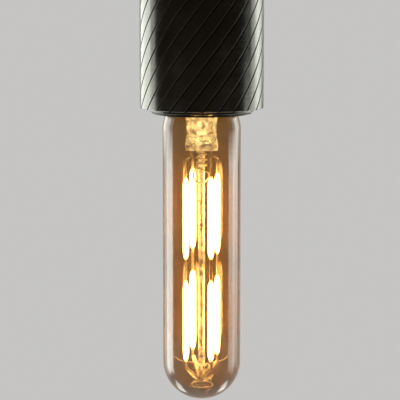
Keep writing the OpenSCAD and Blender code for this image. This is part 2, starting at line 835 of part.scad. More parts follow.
// Flat metal tabs on every column, from one height down to another
module tabs(high, low) {
  color("#d9b25c") for (k = [0:3]) translate(column(k, low)) rotate(column_angle(k))
    translate([-tab_t / 2, -tab_w / 2, 0]) cube([tab_t, tab_w, high - low]);
}

module top_tabs() {
  tabs(upper_top_z + tab_len, upper_top_z + touch);
}

module middle_tabs() {
  tabs(upper_end_z - touch, lower_top_z + touch);
}

module bottom_tabs() {
  tabs(lower_end_z - touch, lower_end_z - tab_len);
}

// A ferrule on the end of the rod, with a flat arm out to each column
module bottom_spider() {
  arm_w = 1.5;
  arm_t = 0.4;
  start = [spider_r - 0.3, hub_z + 0.4];
  color("#e2b860") {
    translate([0, 0, hub_z]) difference() {
      cylinder(h = ferrule_h, r = spider_r);
      translate([0, 0, ferrule_floor - touch]) cylinder(h = ferrule_h, r = rod_r + touch);
    }
    for (k = [0:3]) {
      end = [column_r - tab_t / 2 - touch, lower_end_z - tab_len + column_rise[k] + 0.8];
      run = end - start;
      rotate(column_angle(k)) translate([start[0], -arm_w / 2, start[1]])
        rotate([0, -atan2(run[1], run[0]), 0]) cube([norm(run), arm_w, arm_t]);
    }
  }
}

// Three wires on a collar that centre the rod in the tube
module centring_spring() {
  collar_r = rod_r + wire_r + touch;
  reach = glass_r - glass_wall - wire_r;
  color("#d9b25c") {
    translate([0, 0, spring_z]) rotate_extrude() translate([collar_r, 0]) circle(r = wire_r, $fn = 24);
    for (a = leg_angles) rotate(a) wire(curve([[collar_r, 0, spring_z],
      [collar_r + 3, 0, spring_z + 0.3], [reach - 3, 0, spring_z + 0.2],
      [reach, 0, spring_z + 1.4]], 3), wire_r * 0.8, [0, 1, 0]);
  }
}

// A ring of wire hung below the spider
module tail_ring() {
  ring_radius = 4.3;
  z = hub_z - 3;
  top = hub_z - 0.2;
  thin = wire_r * 0.8;
  color("#e2b860") {
    translate([0, 0, z]) rotate_extrude() translate([ring_radius, 0]) circle(r = thin, $fn = 24);
    for (a = [0, 180]) rotate(a + column_turn) wire(curve([[ring_radius, 0, z],
      [ring_radius - 0.3, 0, z + 1.4], [spider_r - 0.4, 0, top - thin]], 3), thin, [0, 1, 0]);
  }
}

grooved_sleeve();
mouth_ring();
top_cap();
entry_bush();
bush_nut();
grip_screw();
carrier_strap();
carrier_screws();
earth_screw();
ceramic_insert();
screw_shell();
neutral_link();
live_link();
live_terminal();
neutral_terminal();
terminal_screws();
plunger_housing();
contact_spring();
contact_plunger();
plunger_clip();
lamp_eyelet();
cap_shell();
cap_insulator();
cap_cement();
driver_board();
bridge_rectifier();
smoothing_capacitor();
fuse_resistor();
driver_chip();
driver_wires();
glass_envelope();
stem();
exhaust_tube();
centre_rod();
rod_binding();
lead_wires();
upper_forks();
filament(0, upper_top_z);  // upper_filament_1
filament(1, upper_top_z);  // upper_filament_2
filament(2, upper_top_z);  // upper_filament_3
filament(3, upper_top_z);  // upper_filament_4
filament(0, lower_top_z);  // lower_filament_1
filament(1, lower_top_z);  // lower_filament_2
filament(2, lower_top_z);  // lower_filament_3
filament(3, lower_top_z);  // lower_filament_4
top_tabs();
middle_tabs();
bottom_tabs();
bottom_spider();
centring_spring();
tail_ring();
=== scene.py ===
"""Dresses the tubular filament lamp and its spiral-grooved lampholder.

Lengths are written in millimetres and turned into metres by MM. +Z is up, the lamp hangs below
the origin, and the camera looks along +Y.
"""

import logging
import math
from collections.abc import Callable
from dataclasses import dataclass
from enum import Enum
from typing import ClassVar

import bmesh
import bpy
from mathutils import Matrix, Vector


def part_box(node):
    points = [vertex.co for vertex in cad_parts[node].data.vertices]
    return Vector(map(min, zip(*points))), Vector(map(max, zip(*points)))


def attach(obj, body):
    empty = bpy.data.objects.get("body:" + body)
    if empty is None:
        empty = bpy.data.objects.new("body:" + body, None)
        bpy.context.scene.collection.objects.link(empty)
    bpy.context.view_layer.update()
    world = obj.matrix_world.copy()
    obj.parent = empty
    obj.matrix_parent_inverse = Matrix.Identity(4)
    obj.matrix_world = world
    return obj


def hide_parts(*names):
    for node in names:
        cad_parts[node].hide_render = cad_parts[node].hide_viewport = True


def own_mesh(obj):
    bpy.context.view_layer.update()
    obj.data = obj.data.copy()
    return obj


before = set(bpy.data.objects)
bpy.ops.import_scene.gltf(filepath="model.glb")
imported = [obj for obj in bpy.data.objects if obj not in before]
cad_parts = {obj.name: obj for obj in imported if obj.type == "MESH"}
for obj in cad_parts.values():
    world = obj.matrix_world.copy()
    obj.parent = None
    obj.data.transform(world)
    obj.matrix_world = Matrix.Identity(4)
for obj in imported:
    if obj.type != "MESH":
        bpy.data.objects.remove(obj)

MM = 0.001
TURN = 2 * math.pi
CREASE = 32.0  # degrees from which an edge stays sharp
WELD = 1e-7  # metres within which two points are one
LOG = logging.getLogger("lamp")

Point = tuple[float, float, float]
Ring = list[Point]
Profile = list[tuple[float, float]]
Colour = tuple[float, float, float]
Socket = bpy.types.NodeSocket
Mesh = bpy.types.Mesh
Piece = bpy.types.Object


# Shapes


def lerp(a: float, b: float, t: float) -> float:
    """The value a share t of the way from a to b."""
    return a + (b - a) * t


def smooth(t: float) -> float:
    """A share eased at both ends."""
    return t * t * (3 - 2 * t)


def polar(radius: float, angle: float, z: float) -> Point:
    """A point at a distance from the axis, at an angle in radians."""
    return (radius * math.cos(angle), radius * math.sin(angle), z)


def quarter(steps: int) -> list[float]:
    """The angles of a quarter turn in even steps, in radians."""
    return [math.radians(90 * j / steps) for j in range(steps + 1)]


def ring(radius: float, z: float, sides: int) -> Ring:
    """Points of a circle about the axis."""
    return [polar(radius, TURN / sides * i, z) for i in range(sides)]


def shaped_ring(radius: Callable[[float], float], z: float, sides: int) -> Ring:
    """Points round the axis, whose distance from it depends on their angle."""
    return [polar(radius(TURN * i / sides), TURN * i / sides, z) for i in range(sides)]


def oval(wide: float, deep: float, power: float, z: float, sides: int) -> Ring:
    """Points of a rounded rectangle about the axis.

    Args:
        wide: Half its size along X.
        deep: Half its size along Y.
        power: 2 for an ellipse, and more for squarer corners.
        z: Its height.
        sides: How many points it has.

    Returns:
        The points, anticlockwise seen from above.
    """
    points = []
    for i in range(sides):
        c, s = math.cos(TURN * i / sides), math.sin(TURN * i / sides)
        points.append((math.copysign(abs(c) ** (2 / power), c) * wide,
                       math.copysign(abs(s) ** (2 / power), s) * deep, z))
    return points


def filleted(corners: list[tuple[float, float, float]], steps: int = 4) -> Profile:
    """Rounds the corners of a closed outline.

    A point close by on each side of a rounded corner keeps the faces beside it looking flat.

    Args:
        corners: Radius, height and rounding of each corner.
        steps: Points on each rounded corner.

    Returns:
        The outline's points.
    """
    most, beside = 0.4, 0.12  # the most of a side that rounding takes, and the extra points' share
    out = []
    for i, (r, z, size) in enumerate(corners):
        if size <= 0:
            out.append((r, z))
            continue
        here = Vector((r, z))
        before = Vector(corners[i - 1][:2])
        after = Vector(corners[(i + 1) % len(corners)][:2])
        start = here + (before - here).normalized() * min(size, (before - here).length * most)
        end = here + (after - here).normalized() * min(size, (after - here).length * most)
        out.append(tuple(start + (start - here) * beside))
        for j in range(steps + 1):
            t = j / steps
            out.append(tuple(start * (1 - t) ** 2 + here * 2 * t * (1 - t) + end * t * t))
        out.append(tuple(end + (end - here) * beside))
    return out


def curve_through(points: list[Point], steps: int) -> list[Point]:
    """A smooth line through the given points.

    Args:
        points: What it passes through.
        steps: How many points lie on each stretch.

    Returns:
        The line's points.
    """
    last = len(points) - 1
    out = []
    for i in range(last):
        a, b, c, d = (Vector(points[max(0, min(last, i + k))]) for k in (-1, 0, 1, 2))
        for j in range(steps):
            t = j / steps
            out.append(tuple(0.5 * (2 * b + (c - a) * t + (2 * a - 5 * b + 4 * c - d) * t * t
                                    + (3 * b - a - 3 * c + d) * t ** 3)))
    out.append(tuple(points[last]))
    return out


def linked(name: str, data: bpy.types.ID) -> bpy.types.Object:
    """Puts a new object in the scene.

    Args:
        name: Its name.
        data: Its mesh, light or camera.

    Returns:
        The object.
    """
    made = bpy.data.objects.new(name, data)
    bpy.context.scene.collection.objects.link(made)
    return made


def evaluated_mesh(source: Piece) -> Mesh:
    """A plain mesh of an object with its modifiers applied."""
    evaluated = source.evaluated_get(bpy.context.evaluated_depsgraph_get())
    return bpy.data.meshes.new_from_object(evaluated)


def make_piece(name: str, mesh: Mesh, crease: float = CREASE) -> Piece:
    """Links a mesh as a piece of the lamp, with its faces outwards and its soft edges smooth.

    Args:
        name: The piece's name.
        mesh: Its mesh, in metres.
        crease: The angle in degrees from which an edge stays sharp.

    Returns:
        The new object.
    """
    made = bmesh.new()
    made.from_mesh(mesh)
    bmesh.ops.remove_doubles(made, verts=made.verts, dist=WELD)
    bmesh.ops.recalc_face_normals(made, faces=made.faces)
    if made.calc_volume(signed=True) < 0:
        bmesh.ops.reverse_faces(made, faces=made.faces)
    made.to_mesh(mesh)
    made.free()
    mesh.polygons.foreach_set("use_smooth", [True] * len(mesh.polygons))
    mesh.set_sharp_from_angle(angle=math.radians(crease))
    return linked(name, mesh)


def mesh_of(name: str, points: Ring, faces: list[list[int]]) -> Mesh:
    """A mesh from points in millimetres and the faces between them.

    Args:
        name: The mesh's name.
        points: Its points.
        faces: The points' numbers round each face.

    Returns:
        The mesh, in metres.
    """
    mesh = bpy.data.meshes.new(name)
    mesh.from_pydata([Vector(p) * MM for p in points], [], faces)
    mesh.validate()
    return mesh


def mark(mesh: Mesh, name: str, values: list[float]) -> None:
    """Keeps a value for each point of a mesh, which its finish reads by name."""
    mesh.attributes.new(name, "FLOAT", "POINT").data.foreach_set("value", values)


def edges_mesh(name: str, lines: list[list[Point]], closed: bool = False) -> Mesh:
    """A mesh of bare edges along each line.

    Args:
        name: The mesh's name.
        lines: The points of each line, in millimetres.
        closed: Whether each line runs back to its start.

    Returns:
        The mesh, in metres.
    """
    points: list[Vector] = []
    edges: list[tuple[int, int]] = []
    for line in lines:
        base = len(points)
        points += [Vector(p) * MM for p in line]
        edges += [(base + i, base + i + 1) for i in range(len(line) - 1)]
        if closed:
            edges.append((base + len(line) - 1, base))
    mesh = bpy.data.meshes.new(name)
    mesh.from_pydata(points, edges, [])
    return mesh


def band_faces(rows: int, sides: int, closed: bool = False) -> list[list[int]]:
    """The faces between rows of points that run round the axis.

    Args:
        rows: How many rows there are.
        sides: How many points each has.
        closed: Whether the last row joins the first.

    Returns:
        The points' numbers round each face.
    """
    faces = []
    for j in range(rows if closed else rows - 1):
        low, high = j * sides, (j + 1) % rows * sides
        faces += [[low + i, low + (i + 1) % sides, high + (i + 1) % sides, high + i]
                  for i in range(sides)]
    return faces


def tube_mesh(name: str, rings: list[Ring]) -> Mesh:
    """A mesh whose rings run round a closed section, such as a hollow turned part."""
    return mesh_of(name, sum(rings, []), band_faces(len(rings), len(rings[0]), True))


def vessel_mesh(name: str, outer: list[Ring], inner: list[Ring],
                tips: tuple[float, ...] = ()) -> Mesh:
    """A hollow form that is open at its first rings, such as blown glass.

    Args:
        name: The mesh's name.
        outer: The rings of its outside, from the opening on.
        inner: The rings of its inside, from the opening on.
        tips: The heights at which outside and inside close in a point. They close flat
            where there is none.

    Returns:
        The mesh, with the outside's points first and the tips last.
    """
    sides = len(outer[0])
    points = sum(outer + inner, [])
    base, end = len(outer) * sides, len(points)
    faces = band_faces(len(outer), sides)
    faces += [[k + base for k in f][::-1] for f in band_faces(len(inner), sides)]
    faces += [[i, base + i, base + (i + 1) % sides, (i + 1) % sides] for i in range(sides)]
    lasts = ((base - sides, 1), (end - sides, -1))
    for (last, flip), z in zip(lasts, tips):
        faces += [[last + i, last + (i + 1) % sides, len(points)][::flip] for i in range(sides)]
        points.append((0.0, 0.0, z))
    if not tips:
        faces += [list(range(last, last + sides))[::flip] for last, flip in lasts]
    return mesh_of(name, points, faces)


def turned_mesh(name: str, profile: Profile, sides: int = 96) -> Mesh:
    """A mesh turned about the axis.

    Args:
        name: The mesh's name.
        profile: Radius and height of each point. It is a closed outline, or a line that starts
            and ends on the axis.
        sides: Points round the axis.

    Returns:
        The mesh.
    """
    if profile[0][0] or profile[-1][0]:
        return tube_mesh(name, [ring(r, z, sides) for r, z in profile])
    points: Ring = [(0.0, 0.0, profile[0][1])]
    for r, z in profile[1:-1]:
        points += ring(r, z, sides)
    points.append((0.0, 0.0, profile[-1][1]))
    faces = [[0, 1 + (i + 1) % sides, 1 + i] for i in range(sides)]
    rows = len(profile) - 2
    faces += [[k + 1 for k in f] for f in band_faces(rows, sides)]
    top, tip = 1 + (rows - 1) * sides, len(points) - 1
    faces += [[top + i, top + (i + 1) % sides, tip] for i in range(sides)]
    return mesh_of(name, points, faces)


def join_meshes(name: str, meshes: list[Mesh]) -> Mesh:
    """Joins meshes in one.

    Args:
        name: The new mesh's name.
        meshes: What it is made of, which is then removed.

    Returns:
        The new mesh.
    """
    made = bmesh.new()
    for mesh in meshes:
        made.from_mesh(mesh)
        bpy.data.meshes.remove(mesh)
    joined = bpy.data.meshes.new(name)
    made.to_mesh(joined)
    made.free()
    return joined


def bar_mesh(start: Point, end: Point, width: float, thick: float, flat: Point,
             edge: float = 0.06) -> Mesh:
    """A flat metal strip with softened edges.

    Args:
        start: The middle of one end, in millimetres.
        end: The middle of the other.
        width: Its width.
        thick: Its thickness.
        flat: The direction that its broad face looks in.
        edge: How much its edges are softened.

    Returns:
        The mesh.
    """
    a, b = Vector(start) * MM, Vector(end) * MM
    run = (b - a).normalized()
    face = (Vector(flat) - Vector(flat).dot(run) * run).normalized()
    side = run.cross(face)
    made = bmesh.new()
    bmesh.ops.create_cube(made, size=1)
    size = Matrix.Diagonal(((b - a).length, width * MM, thick * MM, 1))
    turn = Matrix((run, side, face)).transposed().to_4x4()
    made.transform(Matrix.Translation((a + b) / 2) @ turn @ size)
    bmesh.ops.bevel(made, geom=made.edges[:], offset=edge * MM, segments=2, profile=0.6,
                    affect="EDGES")
    mesh = bpy.data.meshes.new("bar")
    made.to_mesh(mesh)
    made.free()
    return mesh


# Node trees


class Nodes:
    """Adds and links the nodes of one tree."""

    def __init__(self, tree: bpy.types.NodeTree) -> None:
        """Works on the given tree."""
        self.tree = tree

    def put(self, value: object, target: Socket) -> None:
        """Links a socket to an input, or sets the input to a plain value.

        Args:
            value: The socket or the value.
            target: The input.
        """
        if isinstance(value, Socket):
            self.tree.links.new(value, target)
        else:
            target.default_value = value

    def add(self, kind: str, inputs: dict | None = None, **settings: object) -> bpy.types.Node:
        """Adds a node, with its inputs linked or set.

        Args:
            kind: The node's type.
            inputs: A socket to link, or a value to set, for each input by name or number.
            **settings: The node's own properties.

        Returns:
            The node.
        """
        node = self.tree.nodes.new(kind)
        for key, value in settings.items():
            setattr(node, key, value)
        for key, value in (inputs or {}).items():
            self.put(value, node.inputs[key])
        return node

    def math(self, operation: str, a: object, b: object = 0.0, clamp: bool = False) -> Socket:
        """The result of a sum on one or two values."""
        return self.add("ShaderNodeMath", {0: a, 1: b}, operation=operation,
                        use_clamp=clamp).outputs[0]

    def spread(self, value: object, low: float | Socket, high: float | Socket,
               start: float = 0.0, end: float = 1.0) -> Socket:
        """Maps a value from low..high to start..end, held at both ends."""
        return self.add("ShaderNodeMapRange",
                        {0: value, 1: low, 2: high, 3: start, 4: end}).outputs[0]

    def mix(self, share: object, a: Colour | Socket, b: Colour | Socket) -> Socket:
        """A colour that a share of b has gone into."""
        a, b = (c if isinstance(c, Socket) else (*c, 1.0) for c in (a, b))
        return self.add("ShaderNodeMix", {0: share, 6: a, 7: b}, data_type="RGBA").outputs[2]

    def place(self, kind: str = "Object") -> Socket:
        """Where a point lies, in the object's own or in generated coordinates."""
        return self.add("ShaderNodeTexCoord").outputs[kind]

    def noise(self, scale: object, detail: float, **more: object) -> Socket:
        """A noise about the point's own place.

        Args:
            scale: Its frequency per metre.
            detail: How many finer noises it holds.
            **more: The noise's further inputs.

        Returns:
            Its value.
        """
        if "Vector" not in more:
            more["Vector"] = self.place()
        return self.add("ShaderNodeTexNoise",
                        {"Scale": scale, "Detail": detail} | more).outputs[0]

    def bump(self, height: Socket, strength: float, distance: float) -> Socket:
        """A normal tilted by a relief, whose depth is in millimetres."""
        return self.add("ShaderNodeBump", {"Height": height, "Strength": strength,
                                           "Distance": distance * MM}).outputs[0]

    def attribute(self, name: str) -> Socket:
        """A value that the mesh keeps for each point."""
        return self.add("ShaderNodeAttribute", attribute_name=name).outputs["Fac"]


class Fields(Nodes):
    """A geometry node tree with named inputs, which is run on a mesh."""

    def __init__(self, name: str) -> None:
        """Starts an empty tree that takes and gives a geometry.

        Args:
            name: The tree's name.
        """
        super().__init__(bpy.data.node_groups.new(name, "GeometryNodeTree"))
        self.names: dict[str, str] = {}
        for way in ("INPUT", "OUTPUT"):
            self.tree.interface.new_socket("Geometry", in_out=way,
                                           socket_type="NodeSocketGeometry")
        self.source = self.tree.nodes.new("NodeGroupInput")
        self.target = self.tree.nodes.new("NodeGroupOutput")

    def size(self, name: str, kind: str = "Float") -> Socket:
        """Adds a named input.

        Args:
            name: What the input is called.
            kind: Float, Int, Vector or Material.

        Returns:
            The socket that carries it inside the tree.
        """
        item = self.tree.interface.new_socket(name, in_out="INPUT",
                                              socket_type="NodeSocket" + kind)
        self.names[name] = item.identifier
        return self.source.outputs[name]

    def store(self, geometry: Socket, name: str, value: Socket) -> Socket:
        """Keeps a value for each point of a geometry.

        Args:
            geometry: The geometry.
            name: What the value is called.
            value: The value.

        Returns:
            The geometry with the value.
        """
        return self.add("GeometryNodeStoreNamedAttribute",
                        {"Geometry": geometry, "Name": name, "Value": value},
                        data_type="FLOAT").outputs[0]

    def finish(self, geometry: Socket) -> "Fields":
        """Ends the tree with real geometry in the material that its last input gives.

        Args:
            geometry: What the tree has made.

        Returns:
            The tree.
        """
        real = self.add("GeometryNodeRealizeInstances", {0: geometry})
        shown = self.add("GeometryNodeSetMaterial", {
            "Geometry": real.outputs[0], "Material": self.size("Material", "Material")})
        self.put(shown.outputs[0], self.target.inputs[0])
        return self

    def run(self, name: str, mesh: Mesh, crease: float = CREASE, **sizes: object) -> Piece:
        """Runs the tree on a mesh and gives the result as a plain piece.

        Args:
            name: The piece's name.
            mesh: What the tree starts from.
            crease: The angle in degrees from which an edge stays sharp.
            **sizes: The inputs' values.

        Returns:
            The piece.
        """
        source = linked(name + "_source", mesh)
        modifier = source.modifiers.new(self.tree.name, "NODES")
        modifier.node_group = self.tree
        for key, value in sizes.items():
            modifier[self.names[key]] = value
        result = evaluated_mesh(source)
        result.name = name
        bpy.data.objects.remove(source)
        return make_piece(name, result, crease)


def groove_tree() -> Fields:
    """Cuts spiral grooves with rounded shoulders into a turned wall.

    Each point is drawn in to the groove's depth where it lies within half a width of a spiral
    line. Points below the wall's surface, such as the bore's, stay. How deep a point lies in its
    groove is kept as the attribute groove, for the painted shade that its finish puts in the
    grooves.

    Returns:
        The tree.
    """
    f = Fields("spiral_grooves")
    count, lead, width, depth, radius, start = (
        f.size(name) for name in ("Count", "Lead", "Width", "Depth", "Radius", "Start"))
    place = f.add("GeometryNodeInputPosition")
    x, y, z = f.add("ShaderNodeSeparateXYZ", {0: place.outputs[0]}).outputs[:3]
    angle = f.math("DIVIDE", f.math("ARCTAN2", y, x), TURN)
    twist = f.math("DIVIDE", f.math("SUBTRACT", z, start), lead)
    phase = f.math("MULTIPLY", f.math("SUBTRACT", angle, twist), count)
    off = f.math("ABSOLUTE", f.math("SUBTRACT", phase, f.math("ROUND", phase)))
    around = f.math("DIVIDE", f.math("MULTIPLY", radius, TURN), count)
    away = f.math("DIVIDE", f.math("MULTIPLY", off, around), f.math("MULTIPLY", width, 0.5))
    near = f.math("SUBTRACT", 1.0, away, clamp=True)
    share = f.add("ShaderNodeMapRange", {0: near}, interpolation_type="SMOOTHSTEP").outputs[0]
    bottom = f.math("SUBTRACT", radius, f.math("MULTIPLY", depth, share))
    here = f.math("SQRT", f.math("ADD", f.math("MULTIPLY", x, x), f.math("MULTIPLY", y, y)))
    ratio = f.math("DIVIDE", f.math("MINIMUM", here, bottom), here)
    moved = f.add("ShaderNodeCombineXYZ", {0: f.math("MULTIPLY", x, ratio),
                                           1: f.math("MULTIPLY", y, ratio), 2: z})
    kept = f.store(f.source.outputs["Geometry"], "groove", share)
    cut = f.add("GeometryNodeSetPosition", {"Geometry": kept, "Position": moved.outputs[0]})
    return f.finish(cut.outputs[0])


def wire_tree() -> Fields:
    """Runs a round wire along every line of the given edges.

    Returns:
        The tree.
    """
    sides = 14
    f = Fields("drawn_wire")
    line = f.add("GeometryNodeMeshToCurve", {"Mesh": f.source.outputs["Geometry"]})
    section = f.add("GeometryNodeCurvePrimitiveCircle",
                    {"Resolution": sides, "Radius": f.size("Radius")})
    swept = f.add("GeometryNodeCurveToMesh", {"Curve": line.outputs[0],
                                              "Profile Curve": section.outputs["Curve"],
                                              "Fill Caps": True})
    return f.finish(swept.outputs[0])


def filament_tree() -> Fields:
    """Sweeps an oval strip with rounded, narrowed ends along a line.

    The share of the way along the strip is kept as the attribute along, for its finish.

    Returns:
        The tree.
    """
    narrowest, fullness, points, sides = 0.32, 2.2, 81, 28
    f = Fields("filament_strip")
    width, thick, taper, turn = (f.size(name) for name in ("Width", "Thickness", "Taper", "Turn"))
    line = f.add("GeometryNodeMeshToCurve", {"Mesh": f.source.outputs["Geometry"]})
    fine = f.add("GeometryNodeResampleCurve", {"Curve": line.outputs[0], "Count": points})
    along = f.add("GeometryNodeSplineParameter").outputs["Factor"]
    end = f.math("MINIMUM", along, f.math("SUBTRACT", 1.0, along))
    near = f.math("SUBTRACT", 1.0, f.math("DIVIDE", end, taper), clamp=True)
    swell = f.math("SQRT", f.math("SUBTRACT", 1.0, f.math("POWER", near, fullness)))
    section = f.add("GeometryNodeCurvePrimitiveCircle", {"Resolution": sides, "Radius": 0.5})
    size = f.add("ShaderNodeCombineXYZ", {0: thick, 1: width, 2: 1.0})
    turned = f.add("ShaderNodeCombineXYZ", {2: turn})
    shaped = f.add("GeometryNodeTransform", {"Geometry": section.outputs["Curve"],
                                             "Scale": size.outputs[0]})
    placed = f.add("GeometryNodeTransform", {"Geometry": shaped.outputs[0],
                                             "Rotation": turned.outputs[0]})
    swept = f.add("GeometryNodeCurveToMesh", {
        "Curve": f.store(fine.outputs[0], "along", along), "Profile Curve": placed.outputs[0],
        "Scale": f.math("MAXIMUM", swell, narrowest), "Fill Caps": True})
    return f.finish(swept.outputs[0])


def row_tree() -> Fields:
    """Repeats a small part at even steps along a line.

    Returns:
        The tree.
    """
    f = Fields("row_of_parts")
    count = f.size("Count", "Int")
    first, step, turn = (f.size(name, "Vector") for name in ("First", "Step", "Turn"))
    line = f.add("GeometryNodeMeshLine", {"Count": count, "Start Location": first,
                                          "Offset": step})
    placed = f.add("GeometryNodeInstanceOnPoints",
                   {"Points": line.outputs[0], "Instance": f.source.outputs["Geometry"],
                    "Rotation": turn})
    return f.finish(placed.outputs[0])


# Finishes


def new_group(name: str, takes: dict[str, float], gives: list[str]) -> tuple[Nodes, dict, dict]:
    """Starts a shader node group of plain values.

    Args:
        name: The group's name.
        takes: Each input's name and value.
        gives: Each output's name.

    Returns:
        The builder, the input sockets by name, and the output sockets by name.
    """
    tree = bpy.data.node_groups.new(name, "ShaderNodeTree")
    for key, value in takes.items():
        item = tree.interface.new_socket(key, in_out="INPUT", socket_type="NodeSocketFloat")
        item.default_value = value
    for key in gives:
        tree.interface.new_socket(key, in_out="OUTPUT", socket_type="NodeSocketFloat")
    source = tree.nodes.new("NodeGroupInput")
    target = tree.nodes.new("NodeGroupOutput")
    return (Nodes(tree), {k: source.outputs[k] for k in takes},
            {k: target.inputs[k] for k in gives})


def grain_group() -> bpy.types.NodeTree:
    """Fine lines drawn out along or round a part, with broader bands under them.

    Around and Along are the lines' frequencies per metre across and up the axis.

    Returns:
        The group.
    """
    fine_share, low, high = 0.45, 0.3, 0.7
    n, takes, gives = new_group("drawn_grain", {"Around": 60.0, "Along": 4000.0,
                                                "Bands": 90.0}, ["Height", "Tone"])
    size = n.add("ShaderNodeCombineXYZ", {0: takes["Around"], 1: takes["Around"],
                                          2: takes["Along"]})
    stretched = n.add("ShaderNodeVectorMath", {0: n.place(), 1: size.outputs[0]},
                      operation="MULTIPLY").outputs[0]
    fine = n.noise(1.0, 1.0, Roughness=0.5, Vector=stretched)
    broad = n.noise(takes["Bands"], 4.0, Roughness=0.55)
    n.put(n.spread(fine, 0.25, 0.75), gives["Height"])
    n.put(n.math("ADD", n.math("MULTIPLY", n.spread(fine, low, high), fine_share),
                 n.math("MULTIPLY", n.spread(broad, low, high), 1 - fine_share)), gives["Tone"])
    return n.tree


def wear_group() -> bpy.types.NodeTree:
    """Where edges have rubbed bright: sharp outside edges, broken up by a fine noise.

    Returns:
        The group.
    """
    none, full = 0.32, 0.62  # the noise's levels between which an edge goes from whole to worn
    n, takes, gives = new_group("edge_wear", {"Low": 0.53, "High": 0.62, "Scale": 900.0},
                                ["Mask"])
    sharp = n.add("ShaderNodeNewGeometry").outputs["Pointiness"]
    edge = n.spread(sharp, takes["Low"], takes["High"])
    broken = n.spread(n.noise(takes["Scale"], 5.0), none, full)
    n.put(n.math("MULTIPLY", edge, broken), gives["Mask"])
    return n.tree


def smudge_group() -> bpy.types.NodeTree:
    """Soft cloudy handling marks, and the dust in them.

    Returns:
        The group.
    """
    dust_scale, dust_edge, dust_heart = 1500.0, 0.12, 0.05
    n, takes, gives = new_group("handling_marks", {"Scale": 45.0, "Contrast": 0.2},
                                ["Mask", "Speck"])
    cloud = n.noise(takes["Scale"], 6.0, Distortion=0.6)
    n.put(n.spread(cloud, n.math("SUBTRACT", 0.5, takes["Contrast"]),
                   n.math("ADD", 0.5, takes["Contrast"])), gives["Mask"])
    speck = n.add("ShaderNodeTexVoronoi", {"Vector": n.place(), "Scale": dust_scale}).outputs[0]
    n.put(n.spread(speck, dust_edge, dust_heart), gives["Speck"])
    return n.tree


class Effects:
    """The node groups that several finishes share, each built once."""

    def __init__(self) -> None:
        """Builds the groups."""
        self.grain = grain_group()
        self.wear = wear_group()
        self.marks = smudge_group()


class Grain(Enum):
    """Which way a metal's or plastic's fine lines run, as frequencies across and up the axis."""

    TURNED = (30.0, 2400.0)
    DRAWN = (5200.0, 120.0)
    CAST = (1800.0, 1800.0)


class Skin(Nodes):
    """The nodes of one material, around its principled shader."""

    def __init__(self, name: str) -> None:
        """Starts a material with only the shader.

        Args:
            name: The material's name.
        """
        self.material = bpy.data.materials.new(name)
        self.material.use_nodes = True
        super().__init__(self.material.node_tree)
        self.shader = self.tree.nodes["Principled BSDF"]

    def set(self, **values: object) -> bpy.types.Material:
        """Sets or links the shader's inputs.

        Args:
            **values: A value or a socket for each, with an underscore for each space in a name.

        Returns:
            The material.
        """
        for key, value in values.items():
            self.put(value, self.shader.inputs[key.replace("_", " ")])
        return self.material


@dataclass(frozen=True)
class Solid:
    """A metal, ceramic or plastic finish."""

    shade: ClassVar[float] = 0.82  # how dark the grain's lines are
    polish: ClassVar[float] = 0.06  # what wear takes off the roughness
    smear: ClassVar[float] = 0.35  # the marks' share of the roughness's spread
    groove_shade_depth: ClassVar[float] = 0.08  # how deep in a groove its painted shade is full
    coat_rough: ClassVar[float] = 0.08
    base: Colour
    worn: Colour
    rough: float
    metallic: float = 0.0
    grain: Grain = Grain.CAST
    relief: float = 0.02
    spread: float = 0.1
    wear: float = 0.7
    coat: float = 0.0
    # The painted shade in grooves and on the lip's bevel, where the groove attribute marks them.
    cut: Colour | None = None

    def material(self, name: str, effects: Effects) -> bpy.types.Material:
        """Builds the finish as a material, with painted shade in its grooves and on the lip's
        bevel where it has a cut colour.

        Args:
            name: The material's name.
            effects: The shared node groups.

        Returns:
            The material.
        """
        n = Skin(name)
        around, along = self.grain.value
        grain = n.add("ShaderNodeGroup", node_tree=effects.grain)
        grain.inputs["Around"].default_value = around
        grain.inputs["Along"].default_value = along
        wear = n.add("ShaderNodeGroup", node_tree=effects.wear)
        marks = n.add("ShaderNodeGroup", node_tree=effects.marks)
        share = n.math("MULTIPLY", wear.outputs["Mask"], self.wear)
        dark = tuple(c * self.shade for c in self.base)
        colour = n.mix(share, n.mix(grain.outputs["Tone"], dark, self.base), self.worn)
        # Painted shade: darkens the grooves and the lip's bevel towards the cut colour.
        if self.cut:
            colour = n.mix(n.spread(n.attribute("groove"), 0.0, self.groove_shade_depth), colour,
                           self.cut)
        low, high = self.rough * (1 - self.spread), self.rough * (1 + self.spread)
        rough = n.math("ADD", n.spread(grain.outputs["Tone"], 0.0, 1.0, low, high),
                       n.math("MULTIPLY", marks.outputs["Mask"], self.spread * self.smear))
        polished = n.math("SUBTRACT", rough, n.math("MULTIPLY", share, self.polish))
        return n.set(Base_Color=colour, Metallic=self.metallic, Roughness=polished,
                     Coat_Weight=self.coat, Coat_Roughness=self.coat_rough,
                     Normal=n.bump(grain.outputs["Height"], 1.0, self.relief))


